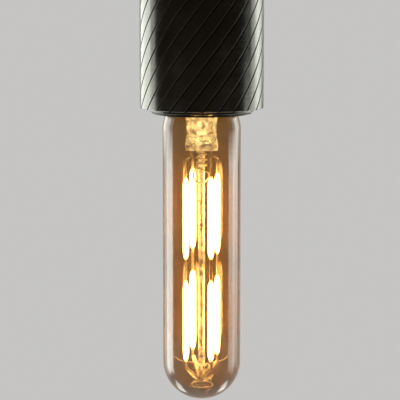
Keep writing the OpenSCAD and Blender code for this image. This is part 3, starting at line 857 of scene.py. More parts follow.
@dataclass(frozen=True)
class Glass:
    """A blown or pressed glass, with its tints and faint marks.

    Where a mesh is lined, lining tints it seen squarely and slant at a slant. Elsewhere rim
    tints what is seen edge-on. Thick glass has waves of the depth ripple, and glow is a painted
    glow in patches on those waves, emission that stands in for the filaments' light caught in
    the glass.
    """

    smear: ClassVar[float] = 0.96  # how much of the tint is left under the marks
    slanting: ClassVar[tuple[float, float]] = (0.12, 0.5)
    edge_on: ClassVar[tuple[float, float]] = (0.5, 0.72)
    wave_scale: ClassVar[float] = 420.0
    painted_glow_patches: ClassVar[tuple[float, float]] = (0.48, 0.66)
    painted_glow_floor: ClassVar[float] = 0.06  # what is left of the painted glow between its patches
    tint: Colour
    lining: Colour | None = None
    slant: Colour | None = None
    rim: Colour | None = None
    clear: float = 1.0
    ior: float = 1.5
    marks: float = 0.02
    ripple: float = 0.0
    coat: float = 0.0
    glow: Colour | None = None

    def material(self, name: str, effects: Effects) -> bpy.types.Material:
        """Builds the glass as a material.

        Args:
            name: The material's name.
            effects: The shared node groups.

        Returns:
            The material.
        """
        n = Skin(name)
        marks = n.add("ShaderNodeGroup", node_tree=effects.marks)
        colour = n.mix(marks.outputs["Mask"], self.tint,
                       tuple(c * self.smear for c in self.tint))
        if self.lining and self.slant and self.rim:
            facing = n.add("ShaderNodeLayerWeight", {"Blend": 0.5}).outputs["Facing"]
            plain = n.mix(n.spread(facing, *self.edge_on), colour, self.rim)
            lining = n.mix(n.spread(facing, *self.slanting), self.lining, self.slant)
            colour = n.mix(n.attribute("lined"), plain, lining)
        rough = n.math("ADD", n.math("MULTIPLY", marks.outputs["Mask"], self.marks),
                       n.math("MULTIPLY", marks.outputs["Speck"], self.marks))
        # Painted glow: emission in patches on the ripple's waves stands in for filament light
        # caught in the glass.
        if self.glow:
            wave = n.noise(self.wave_scale, 1.0)
            dim = tuple(c * self.painted_glow_floor for c in self.glow)
            n.set(Emission_Color=n.mix(n.spread(wave, *self.painted_glow_patches), dim, self.glow),
                  Emission_Strength=1.0, Normal=n.bump(wave, 1.0, self.ripple))
        return n.set(Base_Color=colour, Roughness=rough, Metallic=0.0,
                     Transmission_Weight=self.clear, IOR=self.ior, Coat_Weight=self.coat)


@dataclass(frozen=True)
class Phosphor:
    """The glowing coat of a filament, cooler and dimmer at its ends."""

    coat: Colour = (0.95, 0.72, 0.28)
    glow: Colour = (1.0, 0.83, 0.56)
    ends: Colour = (1.0, 0.55, 0.16)
    strength: float = 52.0
    end_share: float = 0.075  # how much of its length each end fades over
    end_dim: float = 0.12
    chips: float = 28.0
    between: float = 0.86  # how bright it is between two chips
    speckle: float = 600.0  # its marks' frequency per metre
    shade: float = 0.85

    def material(self, name: str, effects: Effects) -> bpy.types.Material:
        """Builds the coat as a material.

        Args:
            name: The material's name.
            effects: The shared node groups.

        Returns:
            The material.
        """
        n = Skin(name)
        along = n.attribute("along")
        lit = n.spread(n.math("MINIMUM", along, n.math("SUBTRACT", 1.0, along)), 0.0,
                       self.end_share)
        beat = n.math("SINE", n.math("MULTIPLY", along, self.chips * TURN))
        level = n.math("MULTIPLY", lit, n.spread(beat, -1.0, 1.0, self.between, 1.0))
        marks = n.add("ShaderNodeGroup", node_tree=effects.marks)
        marks.inputs["Scale"].default_value = self.speckle
        dark = tuple(c * self.shade for c in self.coat)
        dull = tuple(c * self.end_dim for c in self.ends)
        return n.set(Base_Color=n.mix(marks.outputs["Mask"], self.coat, dark), Roughness=0.45,
                     Emission_Color=n.mix(level, dull, self.glow),
                     Emission_Strength=self.strength,
                     Normal=n.bump(marks.outputs["Mask"], 0.4, 0.05))


class Finish(Enum):
    """Every finish on the lamp, by the name of its slot in the record."""

    # cut paints shade into the sleeve's grooves and onto the lip's bevel.
    gunmetal = Solid((0.28, 0.265, 0.24), (0.5, 0.48, 0.44), 0.145, 1.0, Grain.TURNED,
                     relief=0.002, spread=0.22, wear=0.15, cut=(0.009, 0.008, 0.006))
    dark_ring = Solid((0.16, 0.15, 0.13), (0.3, 0.28, 0.24), 0.16, 1.0, Grain.TURNED,
                      relief=0.002, spread=0.2, wear=0.1, cut=(0.055, 0.048, 0.038))
    brass = Solid((0.78, 0.57, 0.26), (0.93, 0.76, 0.42), 0.28, 1.0, Grain.TURNED, relief=0.004)
    contact_brass = Solid((0.82, 0.64, 0.33), (0.94, 0.8, 0.5), 0.26, 1.0, Grain.DRAWN,
                          relief=0.004)
    zinc_steel = Solid((0.66, 0.67, 0.69), (0.85, 0.85, 0.86), 0.34, 1.0, Grain.DRAWN,
                       relief=0.006)
    spring_steel = Solid((0.55, 0.56, 0.58), (0.8, 0.8, 0.8), 0.25, 1.0, Grain.DRAWN,
                         relief=0.003)
    glazed_ceramic = Solid((0.84, 0.80, 0.72), (0.9, 0.88, 0.82), 0.32, relief=0.03, coat=0.6,
                           wear=0.2)
    nickel_cap = Solid((0.72, 0.69, 0.64), (0.9, 0.88, 0.84), 0.22, 1.0, Grain.TURNED,
                       relief=0.003, spread=0.25)
    black_insulator = Solid((0.012, 0.012, 0.014), (0.06, 0.06, 0.06), 0.16, coat=0.5)
    cement = Solid((0.52, 0.46, 0.36), (0.62, 0.57, 0.47), 0.85, relief=0.12)
    circuit_board = Solid((0.03, 0.15, 0.07), (0.16, 0.3, 0.2), 0.42, coat=0.3)
    black_chip = Solid((0.022, 0.022, 0.024), (0.1, 0.1, 0.1), 0.55, relief=0.03)
    capacitor_sleeve = Solid((0.03, 0.05, 0.13), (0.1, 0.13, 0.22), 0.3, relief=0.01, coat=0.4)
    resistor_body = Solid((0.36, 0.12, 0.05), (0.5, 0.26, 0.15), 0.34, relief=0.03, coat=0.5)
    wire_sleeve = Solid((0.34, 0.03, 0.025), (0.5, 0.15, 0.12), 0.4, relief=0.01)
    amber_glass = Glass((0.97, 0.95, 0.90), (0.34, 0.155, 0.022), (0.17, 0.062, 0.009),
                        (0.34, 0.13, 0.012), clear=0.92, marks=0.012)
    # glow is painted light: emission that stands in for the filaments' light caught in the stem,
    # exhaust tube and rod.
    stem_glass = Glass((0.98, 0.96, 0.92), clear=0.99, ior=1.6, marks=0.03, ripple=0.4, coat=1.0,
                       glow=(1.15, 1.15, 1.2))
    support_wire = Solid((0.95, 0.90, 0.80), (0.97, 0.94, 0.88), 0.34, 0.8, Grain.DRAWN,
                         relief=0.002, wear=0.3)
    lit_filament = Phosphor()


class Wardrobe:
    """Makes each finish's material when it is first asked for."""

    def __init__(self) -> None:
        """Starts with the shared effects and no material."""
        self.effects = Effects()
        self.made: dict[Finish, bpy.types.Material] = {}

    def material(self, finish: Finish) -> bpy.types.Material:
        """A finish's material, which is built once.

        Args:
            finish: The finish.

        Returns:
            Its material.
        """
        if finish not in self.made:
            self.made[finish] = finish.value.material(finish.name, self.effects)
        return self.made[finish]

    def paint(self, mesh: Mesh, finish: Finish) -> None:
        """Gives a mesh the finish's material and no other."""
        mesh.materials.clear()
        mesh.materials.append(self.material(finish))


# Sub-assemblies


def low_z(node: str) -> float:
    """A node's lowest height, in millimetres."""
    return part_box(node)[0].z / MM


def high_z(node: str) -> float:
    """A node's greatest height, in millimetres."""
    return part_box(node)[1].z / MM


@dataclass(frozen=True)
class Heights:
    """Heights that the holder and the lamp share, in millimetres, read from the frame."""

    rim: float
    mouth: float
    ring_top: float
    insert_top: float
    tip: float
    cap_rim: float
    skirt_top: float
    cap_top: float
    neck_top: float
    flare_top: float
    stem_end: float
    lead_end: float
    board_end: float
    hub: float
    glass_end: float

    @classmethod
    def of_frame(cls) -> "Heights":
        """Reads the heights from the nodes' boxes.

        Returns:
            The heights.
        """
        skirt = 6.0
        return cls(
            rim=low_z("grooved_sleeve"), mouth=low_z("mouth_ring"),
            ring_top=high_z("mouth_ring"), insert_top=high_z("ceramic_insert"),
            tip=high_z("lamp_eyelet"), cap_rim=low_z("cap_shell"),
            skirt_top=low_z("cap_shell") + skirt, cap_top=high_z("cap_shell"),
            neck_top=high_z("glass_envelope"), flare_top=high_z("stem"),
            stem_end=low_z("stem"), lead_end=low_z("lead_wires"),
            board_end=low_z("driver_board"), hub=low_z("bottom_spider"),
            glass_end=low_z("glass_envelope"))


@dataclass(frozen=True)
class Thread:
    """The rolled round thread of the cap and of the shell that takes it."""

    mean: float = 12.65
    play: float = 0.3
    depth: float = 1.1
    pitch: float = 3.629
    sides: int = 96
    steps: int = 28

    def radius(self, mean: float, angle: float, z: float) -> float:
        """The thread's radius at an angle and a height."""
        return mean + self.depth / 2 * math.cos(angle - TURN * z / self.pitch)

    def rings(self, mean: float, start: float, end: float) -> list[Ring]:
        """The thread's rings from one height to another.

        Args:
            mean: The radius halfway up its flanks.
            start: The first ring's height.
            end: The last ring's height.

        Returns:
            The rings.
        """
        rows = round(abs(end - start) / self.pitch * self.steps)
        heights = [lerp(start, end, j / rows) for j in range(rows + 1)]
        return [shaped_ring(lambda a: self.radius(mean, a, z), z, self.sides) for z in heights]


@dataclass
class Assembly:
    """A sub-assembly, with the heights and the finishes that all of them share."""

    body: ClassVar[str] = "lamp"
    at: Heights
    wardrobe: Wardrobe

    def dress(self, piece: Piece, finish: Finish, body: str) -> None:
        """Finishes a new piece and puts it in the place of its node.

        Args:
            piece: The new piece. Its name is its node's, an underscore and how it is made.
            finish: Its finish.
            body: The body that it rides on.
        """
        self.wardrobe.paint(piece.data, finish)
        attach(piece, body)
        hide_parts(piece.name.rsplit("_", 1)[0])
        LOG.info("%s: %d faces, %s", piece.name, len(piece.data.polygons), finish.name)

    def place(self, name: str, mesh: Mesh, finish: Finish, crease: float = CREASE,
              body: str = "") -> None:
        """Makes a piece of a mesh and dresses it.

        Args:
            name: The piece's name.
            mesh: Its mesh, in metres.
            finish: Its finish.
            crease: The angle in degrees from which an edge stays sharp.
            body: The body that it rides on, where it isn't the sub-assembly's own.
        """
        self.dress(make_piece(name, mesh, crease), finish, body or self.body)

    def grow(self, tree: Fields, name: str, mesh: Mesh, finish: Finish,
             crease: float = CREASE, **sizes: object) -> Piece:
        """Makes a piece with a geometry node tree and dresses it.

        Args:
            tree: The tree.
            name: The piece's name.
            mesh: What the tree starts from.
            finish: The piece's finish.
            crease: The angle in degrees from which an edge stays sharp.
            **sizes: The tree's inputs.

        Returns:
            The piece.
        """
        piece = tree.run(name, mesh, crease, Material=self.wardrobe.material(finish), **sizes)
        self.dress(piece, finish, self.body)
        return piece

    def dress_nodes(self, finishes: dict[str, Finish]) -> None:
        """Gives nodes of the frame, whose shapes are kept, their materials.

        Args:
            finishes: Each node's finish.
        """
        for node, finish in finishes.items():
            self.wardrobe.paint(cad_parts[node].data, finish)
            LOG.info("%s: frame mesh, %s", node, finish.name)


@dataclass
class Holder(Assembly):
    """The turned lampholder: sleeve, lip, top and what hangs inside."""

    body: ClassVar[str] = "holder"
    insert_nodes: ClassVar[dict[str, Finish]] = {
        "bush_nut": Finish.zinc_steel, "grip_screw": Finish.zinc_steel,
        "carrier_strap": Finish.zinc_steel, "ceramic_insert": Finish.glazed_ceramic,
        "neutral_link": Finish.contact_brass, "live_link": Finish.contact_brass,
        "live_terminal": Finish.brass, "neutral_terminal": Finish.brass,
        "plunger_housing": Finish.contact_brass, "plunger_clip": Finish.spring_steel,
        "contact_plunger": Finish.contact_brass,
    }
    thread: Thread
    radius: float = 23.6
    bore: float = 20.3
    fit: float = 0.1
    chamfer: float = 0.1
    top_thick: float = 3.0
    grooves: int = 24
    lead: float = 191.0
    groove_width: float = 0.9
    groove_depth: float = 0.22
    lip_bore: float = 16.0
    lip_radius: float = 20.0
    bevel: float = 0.95
    bush_radius: float = 6.5
    flange_radius: float = 8.5
    bush_end: float = -22.0
    entry_radius: float = 4.5
    entry_pitch: float = 1.0
    entry_length: float = 12.0
    carrier_out: float = 14.5
    carrier_seat: float = 1.3
    terminal_out: float = 9.85
    terminal_seat: float = 8.1
    earth_at: Point = (0.0, -11.55, -20.98)
    screw_radius: float = 1.5
    screw_head: float = 2.7
    screw_pitch: float = 0.5
    shell_radius: float = 14.0
    spring_wire: float = 0.6
    spring_turns: float = 4.0
    plunger_travel: float = 1.2

    def sleeve(self) -> None:
        """The sleeve, as a twisted tube whose columns follow the grooves that are then cut."""
        half = self.groove_width / 2 / self.radius
        pitch = TURN / self.grooves
        near = [half * t / 6 for t in range(-7, 8)]
        land = pitch - 2 * near[-1]
        offsets = near + [near[-1] + land * t for t in (0.2, 0.4, 0.6, 0.8)]
        columns = [pitch * g + o for g in range(self.grooves) for o in offsets]
        low, high, c, r = self.at.rim, -self.top_thick, self.chamfer, self.radius
        edge = ((1.4, 0.0), (0.9, 0.06), (0.12, 0.8), (0.0, 1.1), (0.0, 1.4))
        rows = 96
        wall = [(r - c * x, low + c * y) for x, y in edge]
        wall += [(r, lerp(low + c * 1.4, high - c * 1.4, j / rows)) for j in range(1, rows)]
        wall += [(r - c * x, high - c * y) for x, y in edge[::-1]]
        wall += [(self.bore, lerp(high, low, j / 12)) for j in range(13)]
        rings = [[polar(radius, TURN * (z - low) / self.lead + a, z) for a in columns]
                 for radius, z in wall]
        self.grow(groove_tree(), "grooved_sleeve_turned", tube_mesh("sleeve", rings),
                  Finish.gunmetal, 50.0, Count=float(self.grooves), Lead=self.lead * MM,
                  Width=self.groove_width * MM, Depth=self.groove_depth * MM,
                  Radius=self.radius * MM, Start=low * MM)

    def lip(self) -> None:
        """The ring that stands out below the sleeve, with painted shade on the bevel above its
        lower edge.
        """
        low, high, r, bore = self.at.mouth, self.at.ring_top, self.lip_radius, self.lip_bore
        foot = r - self.bevel
        profile = filleted([(bore, low, 0.9), (foot, low, 0.15), (foot, low + 0.5, 0.08),
                            (r, low + 1.05, 0.12), (r, high, 0.3), (bore, high, 0.3)], 6)
        mesh = turned_mesh("lip", profile, 160)
        # The bevel is marked for the finish's cut colour, which paints shade on it.
        mark(mesh, "groove", [float(v.co.z < (low + 1.1) * MM) for v in mesh.vertices])
        self.place("mouth_ring_turned", mesh, Finish.dark_ring)

    def top(self) -> None:
        """The top cap with its spigot and the sunk seat of the entry bush."""
        low, spigot, wall = -self.top_thick, self.bore - self.fit, 2
        boss, seat, hole = 10.6, 8.6, self.bush_radius + self.fit
        spigot_end, boss_end, seat_z = low - 5, low - 4.95, -1.55
        profile = filleted([
            (seat, 0, 0.2), (self.radius, 0, 0.8), (self.radius, low + 0.05, 0.05),
            (spigot, low + 0.05, 0.0), (spigot, spigot_end, 0.3),
            (spigot - wall, spigot_end, 0.3), (spigot - wall, low, 0.5), (boss, low, 0.5),
            (boss, boss_end, 0.3), (hole, boss_end, 0.2), (hole, seat_z, 0.1),
            (seat, seat_z, 0.1)], 5)
        self.place("top_cap_turned", turned_mesh("top", profile, 160), Finish.gunmetal)

    def entry(self) -> None:
        """The entry bush, with the thread of its bore."""
        sides, steps, deep, inside, seat = 72, 12, 0.45, 4.0, -1.5
        r, flange, end = self.bush_radius, self.flange_radius, self.bush_end
        outline = ((inside, end), (r - 0.2, end), (r, end + 0.2), (r, seat),
                   (flange - 0.1, seat), (flange, seat + 0.1), (flange, -0.12),
                   (flange - 0.12, 0.0), (5.1, 0.0))
        rings = [ring(radius, z, sides) for radius, z in outline]
        rows = int(self.entry_length / self.entry_pitch * steps)
        for j in range(rows + 1):
            z = lerp(-0.25, -self.entry_length, j / rows)
            rings.append(shaped_ring(
                lambda a: self.entry_radius
                + deep * abs(2 * ((z / self.entry_pitch - a / TURN) % 1.0) - 1), z, sides))
        rings.append(ring(inside, -self.entry_length - 0.5, sides))
        self.place("entry_bush_turned", tube_mesh("entry", rings), Finish.brass)

    def screws(self) -> None:
        """The slotted screws of the carrier, the terminals and the earth."""
        tree, top = row_tree(), self.at.insert_top
        carrier = (0.0, self.carrier_out, top + self.carrier_seat)
        terminal = (self.terminal_out, 0.0, top + self.terminal_seat)
        for name, (x, y, z), length in (("carrier_screws", carrier, 5.2),
                                        ("terminal_screws", terminal, 3.3)):
            self.grow(tree, name + "_slotted", self.screw_mesh(length), Finish.zinc_steel,
                      Count=2, First=Vector((-x, -y, z)) * MM,
                      Step=Vector((2 * x, 2 * y, 0)) * MM)
        self.grow(tree, "earth_screw_slotted", self.screw_mesh(4.4, washer=0.8), Finish.brass,
                  Count=1, First=Vector(self.earth_at) * MM,
                  Turn=Vector((math.pi / 2, 0, 0)))

    def screw_mesh(self, length: float, washer: float = 0.0) -> Mesh:
        """A pan-head screw with a slot, standing on its bearing face.

        Args:
            length: Its shank.
            washer: The thickness of the washer under its head, or nothing.

        Returns:
            The mesh.
        """
        shank, head, pitch = self.screw_radius, self.screw_head, self.screw_pitch
        top, brim, reach, slot_wide, slot_deep = washer + 1.8, 0.8, 4.0, 0.7, 1.6
        profile = [(0.0, -length), (shank - 0.3, -length), (shank, -length + 0.3)]
        for j in range(int((length - 0.6) / pitch)):
            z = -length + 0.3 + pitch * j
            profile += [(shank, z + 0.05), (shank - 0.22, z + 0.25), (shank, z + 0.45)]
        profile += [(shank, 0.0)]
        if washer:
            profile += [(head + brim, 0.0), (head + brim, washer)]
        profile += [(head, washer), (head, top - 0.6), (head - 0.2, top - 0.2),
                    (head - 0.7, top), (0.0, top)]
        body = linked("screw", turned_mesh("screw", profile, 32))
        slot = linked("slot", bar_mesh((-reach, 0, top), (reach, 0, top), slot_wide, slot_deep,
                                       (0, 0, 1), 0.02))
        body.modifiers.new("slot", "BOOLEAN").object = slot
        mesh = evaluated_mesh(body)
        for made in (body, slot):
            bpy.data.objects.remove(made)
        return mesh

    def spring(self) -> None:
        """The spring above the contact, which shortens as the contact is pressed up."""
        low, high = low_z("contact_spring"), high_z("contact_spring")
        wire, long = self.spring_wire / 2, high - low
        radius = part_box("contact_spring")[1].x / MM - wire
        steps = round(self.spring_turns * 24)
        coil = [polar(radius, TURN * self.spring_turns * j / steps,
                      lerp(low + wire, high - wire, j / steps)) for j in range(steps + 1)]
        piece = self.grow(wire_tree(), "contact_spring_wound", edges_mesh("spring", [coil]),
                          Finish.spring_steel, Radius=wire * MM)
        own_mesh(piece)

    def screw_shell(self) -> None:
        """The shell that takes the lamp's cap."""
        t, low, high = self.thread, self.at.skirt_top + 0.8, self.at.cap_top - 0.2
        rings = [ring(self.shell_radius, low, t.sides), ring(self.shell_radius, high, t.sides)]
        rings += t.rings(t.mean + t.play, high, low)
        self.place("screw_shell_rolled", tube_mesh("shell", rings), Finish.contact_brass)

    def build(self) -> None:
        """Makes and dresses the whole holder."""
        self.sleeve()
        self.lip()
        self.top()
        self.entry()
        self.screws()
        self.spring()
        self.dress_nodes(self.insert_nodes)
        self.screw_shell()


@dataclass
class Cap(Assembly):
    """The lamp's screw cap, with its contact, insulator, cement and driver."""

    driver_nodes: ClassVar[dict[str, Finish]] = {
        "cap_cement": Finish.cement, "driver_board": Finish.circuit_board,
        "bridge_rectifier": Finish.black_chip, "driver_chip": Finish.black_chip,
        "smoothing_capacitor": Finish.capacitor_sleeve,
        "fuse_resistor": Finish.resistor_body, "driver_wires": Finish.wire_sleeve,
    }
    thread: Thread
    skirt: float = 13.3
    wall: float = 0.35
    bore: float = 11.75
    eyelet_radius: float = 4.8
    stalk_radius: float = 1.5

    def shell(self) -> None:
        """The rolled shell and its skirt."""
        t, at, sides = self.thread, self.at, self.thread.sides
        low, high, top, step = at.cap_rim + 0.1, at.skirt_top - 1.0, at.cap_top, at.neck_top + 0.3
        inner, count = self.skirt - self.wall, 8
        outline = [(self.skirt - 0.05, at.cap_rim)]
        outline += [(self.skirt, lerp(low, high, j / count)) for j in range(count + 1)]
        rings = [ring(r, z, sides) for r, z in outline]
        for j in range(1, count + 1):
            share, z = smooth(j / count), lerp(high, at.skirt_top, j / count)
            rings.append(shaped_ring(
                lambda a: lerp(self.skirt, t.radius(t.mean, a, z), share), z, sides))
        rings += t.rings(t.mean, at.skirt_top + 0.1, top - 0.5)
        rings += [ring(r, z, sides) for r, z in (
            (self.bore + self.wall, top - 0.15), (self.bore + self.wall * 0.7, top),
            (self.bore, top), (self.bore, step), (inner, step), (inner, at.cap_rim))]
        self.place("cap_shell_rolled", tube_mesh("cap", rings), Finish.nickel_cap, 40.0)

    def contact(self) -> None:
        """The centre contact and the black insulator round it."""
        tip, top = self.at.tip, self.at.cap_top
        seat, stalk_end, thin, wide = tip - 1.05, top - 1.5, self.stalk_radius, self.eyelet_radius
        eyelet = filleted([(thin, stalk_end, 0.2), (thin, seat, 0.0), (wide, seat, 0.1),
                           (wide, tip - 0.5, 0.3), (3.4, tip, 0.8)], 5)
        profile = [(0.0, stalk_end)] + eyelet + [(0.0, tip)]
        self.place("lamp_eyelet_pressed", turned_mesh("eyelet", profile), Finish.nickel_cap,
                   body="lamp_contact")
        hole, plug, ledge, low = thin + 0.1, 11.6, top + 0.05, top - 3.0
        outline = filleted([(hole, tip - 1.1, 0.0), (5.6, tip - 1.1, 0.5),
                            (self.bore, top + 0.6, 0.5), (self.bore, ledge, 0.0),
                            (plug, ledge, 0.0), (plug, low, 0.2), (hole, low, 0.0)], 6)
        self.place("cap_insulator_moulded", turned_mesh("insulator", outline),
                   Finish.black_insulator)

    def build(self) -> None:
        """Makes and dresses the cap."""
        self.shell()
        self.contact()
        self.dress_nodes(self.driver_nodes)


@dataclass
class Bulb(Assembly):
    """The glass: envelope, stem, exhaust tube and centre rod."""

    radius: float = 15.0
    wall: float = 0.65
    neck: float = 12.5
    shoulder: float = 12.5
    stem_wall: float = 1.0
    stem_radius: float = 5.8
    flare_radius: float = 11.45
    flare_power: float = 2.4
    press_wide: float = 6.3
    press_deep: float = 1.8
    press_high: float = 6.0
    press_foot: float = 2.4
    press_power: float = 3.2
    foot_narrowing: float = 0.05
    foot_thinning: float = 0.16
    hollow_deep: float = 0.9
    tube_radius: float = 2.2
    rod_radius: float = 1.25

    def envelope(self) -> None:
        """The tube with its domed end and its neck in the cap."""
        steps, sides, thin = 40, 144, self.radius - self.wall
        top, dome = self.at.cap_rim + 0.8, self.at.glass_end + self.radius
        outer = [(self.neck, self.at.neck_top)]
        for j in range(steps + 1):
            t = j / steps
            outer.append((lerp(self.neck, self.radius, smooth(t)), top - self.shoulder * t))
        outer += [(self.radius, lerp(outer[-1][1], dome, j / 8)) for j in range(1, 8)]
        inner = [(r - self.wall, z) for r, z in outer]
        for line, r in ((outer, self.radius), (inner, thin)):
            line += [(r * math.cos(a), dome - r * math.sin(a)) for a in quarter(steps)[:-1]]
        walls = [[ring(r, z, sides) for r, z in line] for line in (outer, inner)]
        mesh = vessel_mesh("envelope", *walls, tips=(dome - self.radius, dome - thin))
        count = len(outer) * sides
        mark(mesh, "lined", [0.0] * count + [1.0] * count + [0.0, 1.0])
        self.place("glass_envelope_blown", mesh, Finish.amber_glass, 60.0)

    def stem(self) -> None:
        """The flare, its tube and the flat press, as one hollow glass."""
        sides, steps, rows, power = 72, 36, 14, self.press_power
        end, foot, curve = self.at.stem_end, self.press_foot, quarter(6)[1:]
        press_top = end + self.press_high
        flare = []
        for j in range(steps + 1):
            t = j / steps
            r = lerp(self.stem_radius, self.flare_radius, (1 - t) ** self.flare_power)
            flare.append((r, self.at.flare_top - (self.at.flare_top - press_top) * t))
        outer = [ring(r, z, sides) for r, z in flare]
        for j in range(1, rows + 1):
            t = j / rows
            wide, deep = (lerp(self.stem_radius, size, smooth(t))
                          for size in (self.press_wide, self.press_deep))
            outer.append(oval(wide, deep, lerp(2.0, power, smooth(t)),
                              lerp(press_top, end + foot, t), sides))
        for a in curve:
            lost = 1 - math.cos(a)
            outer.append(oval(self.press_wide * (1 - self.foot_narrowing * lost),
                              self.press_deep * (1 - self.foot_thinning * lost), power,
                              end + foot * (1 - math.sin(a)), sides))
        inner = [ring(r - self.stem_wall, z, sides) for r, z in flare]
        inner += [ring((self.stem_radius - self.stem_wall) * max(math.cos(a), 0.02),
                       press_top - self.hollow_deep * math.sin(a), sides) for a in curve]
        self.place("stem_pressed", vessel_mesh("stem", outer, inner), Finish.stem_glass, 50.0)

    def tubes(self) -> None:
        """The sealed exhaust tube and the solid centre rod."""
        r, tip = self.tube_radius, self.at.flare_top + 1.0
        low = self.at.stem_end + self.press_high + 0.05
        tube = [(0.0, low), (r * 0.96, low), (r, low + 0.15)]
        tube += [(r * math.cos(a), tip - r + r * math.sin(a)) for a in quarter(8)[:-1]]
        tube += [(0.0, tip)]
        self.place("exhaust_tube_drawn", turned_mesh("exhaust", tube, 48), Finish.stem_glass)
        r, low, top = self.rod_radius, self.at.hub + 0.8, self.at.stem_end - 0.05
        rod = [(0.0, low), (r - 0.15, low), (r, low + 0.2), (r, top - 0.2), (r - 0.15, top),
               (0.0, top)]
        self.place("centre_rod_drawn", turned_mesh("rod", rod, 48), Finish.stem_glass)

    def build(self) -> None:
        """Makes and dresses the glass."""
        self.envelope()
        self.stem()
        self.tubes()


@dataclass
class Mount(Assembly):
    """What hangs on the stem: wires, filaments, tabs, spider and springs."""

    wires: Fields
    wire: float = 0.35
    thin_share: float = 0.8
    rod: float = 1.25
    lead: float = 3.9
    circle: float = 7.0
    turn: float = 30.0
    width: float = 2.6
    thick: float = 2.2
    taper: float = 0.16
    tab: float = 3.4
    tab_wide: float = 1.1
    tab_thick: float = 0.3
    gap: float = 0.05
    arm_wide: float = 1.5
    arm_thick: float = 0.4
    coil_turns: float = 3.25
    coil_drop: float = 6.6
    hoop: float = 4.3
    glass_bore: float = 14.35
    legs: tuple[float, ...] = (42.0, 140.0, 270.0)

    def angle(self, k: int) -> float:
        """A column's angle, in radians."""
        return math.radians(self.turn + 90 * k)

    def column(self, k: int, z: float) -> Point:
        """A point on one of the four columns."""
        return polar(self.circle, self.angle(k), z)

    @staticmethod
    def top(tier: str, k: int) -> float:
        """The height at which the lit part of a strip starts."""
        return high_z(f"{tier}_filament_{k + 1}")

    @staticmethod
    def end(tier: str, k: int) -> float:
        """The height at which the lit part of a strip ends."""
        return low_z(f"{tier}_filament_{k + 1}")

    def drawn(self, name: str, lines: list[list[Point]]) -> None:
        """Makes and dresses a piece of round wire along the given lines."""
        self.grow(self.wires, name, edges_mesh(name + "_lines", lines), Finish.support_wire,
                  Radius=self.wire * MM)

    def joined(self, name: str, hoop: Ring, radius: float, arms: list[list[Point]],
               arm_radius: float) -> None:
        """Makes and dresses a piece of a closed hoop of wire with arms of wire.

        Args:
            name: The piece's name.
            hoop: The hoop's points.
            radius: The radius of its wire.
            arms: The points of each arm.
            arm_radius: The radius of the arms' wire.
        """
        meshes = []
        for part, lines, thick in (("hoop", [hoop], radius), ("arms", arms, arm_radius)):
            made = self.wires.run(f"{name}_{part}", edges_mesh(part, lines, part == "hoop"),
                                  Radius=thick * MM,
                                  Material=self.wardrobe.material(Finish.support_wire))
            meshes.append(made.data)
            bpy.data.objects.remove(made)
        self.place(name, join_meshes(name, meshes), Finish.support_wire)

    def lead_wires(self) -> None:
        """The two wires through the press and the forks that they feed."""
        low, high = self.at.lead_end, self.at.board_end + 2.0
        self.drawn("lead_wires_drawn", [[(side * self.lead, 0.0, low),
                                         (side * self.lead, 0.0, high)] for side in (-1, 1)])
        joint = low - self.gap - self.wire
        forks = []
        for side, one, other in ((-1, 1, 2), (1, 0, 3)):
            a, b = (self.column(k, self.top("upper", k) + self.tab + self.gap)
                    for k in (one, other))
            c, d = ((x, y, lerp(joint, z, 0.25)) for x, y, z in (a, b))
            forks.append(curve_through([a, c, (side * self.lead, 0.0, joint), d, b], 10))
        self.drawn("upper_forks_drawn", forks)

    def binding(self) -> None:
        """The wire wound round the rod below the press, with its loop."""
        r, turns, steps = self.rod + self.wire + 0.2, self.coil_turns, 130
        top = self.at.stem_end - self.wire - 0.1
        end = top - self.coil_drop
        coil = [polar(r, math.radians(-90 - 360 * (turns - turns * j / steps)),
                      top - self.coil_drop * j / steps) for j in range(steps + 1)]
        tail = [(2.9, -r - 0.6, end - 1.6), (2.2, -r - 0.9, end - 3.6), (0.0, -r - 0.9, end - 5.2),
                (-2.5, -r - 0.7, end - 4.2), (-3.2, -r - 0.2, end - 2.0),
                (-2.6, -r + 0.3, end - 0.4)]
        self.drawn("rod_binding_wound", [coil + curve_through([coil[-1]] + tail, 10)[1:]])

    def filaments(self) -> None:
        """The four upper and four lower strips."""
        tree = filament_tree()
        for tier in ("upper", "lower"):
            for k in range(4):
                line = [self.column(k, self.end(tier, k)), self.column(k, self.top(tier, k))]
                self.grow(tree, f"{tier}_filament_{k + 1}_lit", edges_mesh("line", [line]),
                          Finish.lit_filament, Width=self.width * MM,
                          Thickness=self.thick * MM, Taper=self.taper, Turn=self.angle(k))

    def tabs(self) -> None:
        """The bare metal ends of the strips, on every column."""
        top, end, tab, gap = self.top, self.end, self.tab, self.gap
        sets = {"top_tabs": [(top("upper", k) + gap, top("upper", k) + tab) for k in range(4)],
                "middle_tabs": [(top("lower", k) + gap, end("upper", k) - gap)
                                for k in range(4)],
                "bottom_tabs": [(end("lower", k) - tab, end("lower", k) - gap)
                                for k in range(4)]}
        for name, spans in sets.items():
            bars = [bar_mesh(self.column(k, low), self.column(k, high), self.tab_wide,
                             self.tab_thick, polar(1, self.angle(k), 0))
                    for k, (low, high) in enumerate(spans)]
            self.place(name + "_stamped", join_meshes(name, bars), Finish.support_wire)

    def spider(self) -> None:
        """The ferrule on the rod's end with an arm out to each column."""
        hub, r, inner, high = self.at.hub, self.rod + 0.7, self.rod + 0.05, 3
        inside = hub + 0.75
        cup = filleted([(0.0, hub, 0.0), (r, hub, 0.3), (r, hub + high, 0.15),
                        (inner, hub + high, 0.1), (inner, inside, 0.1)], 4)
        meshes = [turned_mesh("ferrule", cup + [(0.0, inside)], 64)]
        for k in range(4):
            top = self.end("lower", k) - self.tab + 0.8
            meshes.append(bar_mesh(polar(r - 0.3, self.angle(k), hub + 0.6),
                                   polar(self.circle - 0.2, self.angle(k), top + 0.2),
                                   self.arm_wide, self.arm_thick, (0, 0, 1)))
        self.place("bottom_spider_stamped", join_meshes("spider", meshes), Finish.support_wire)

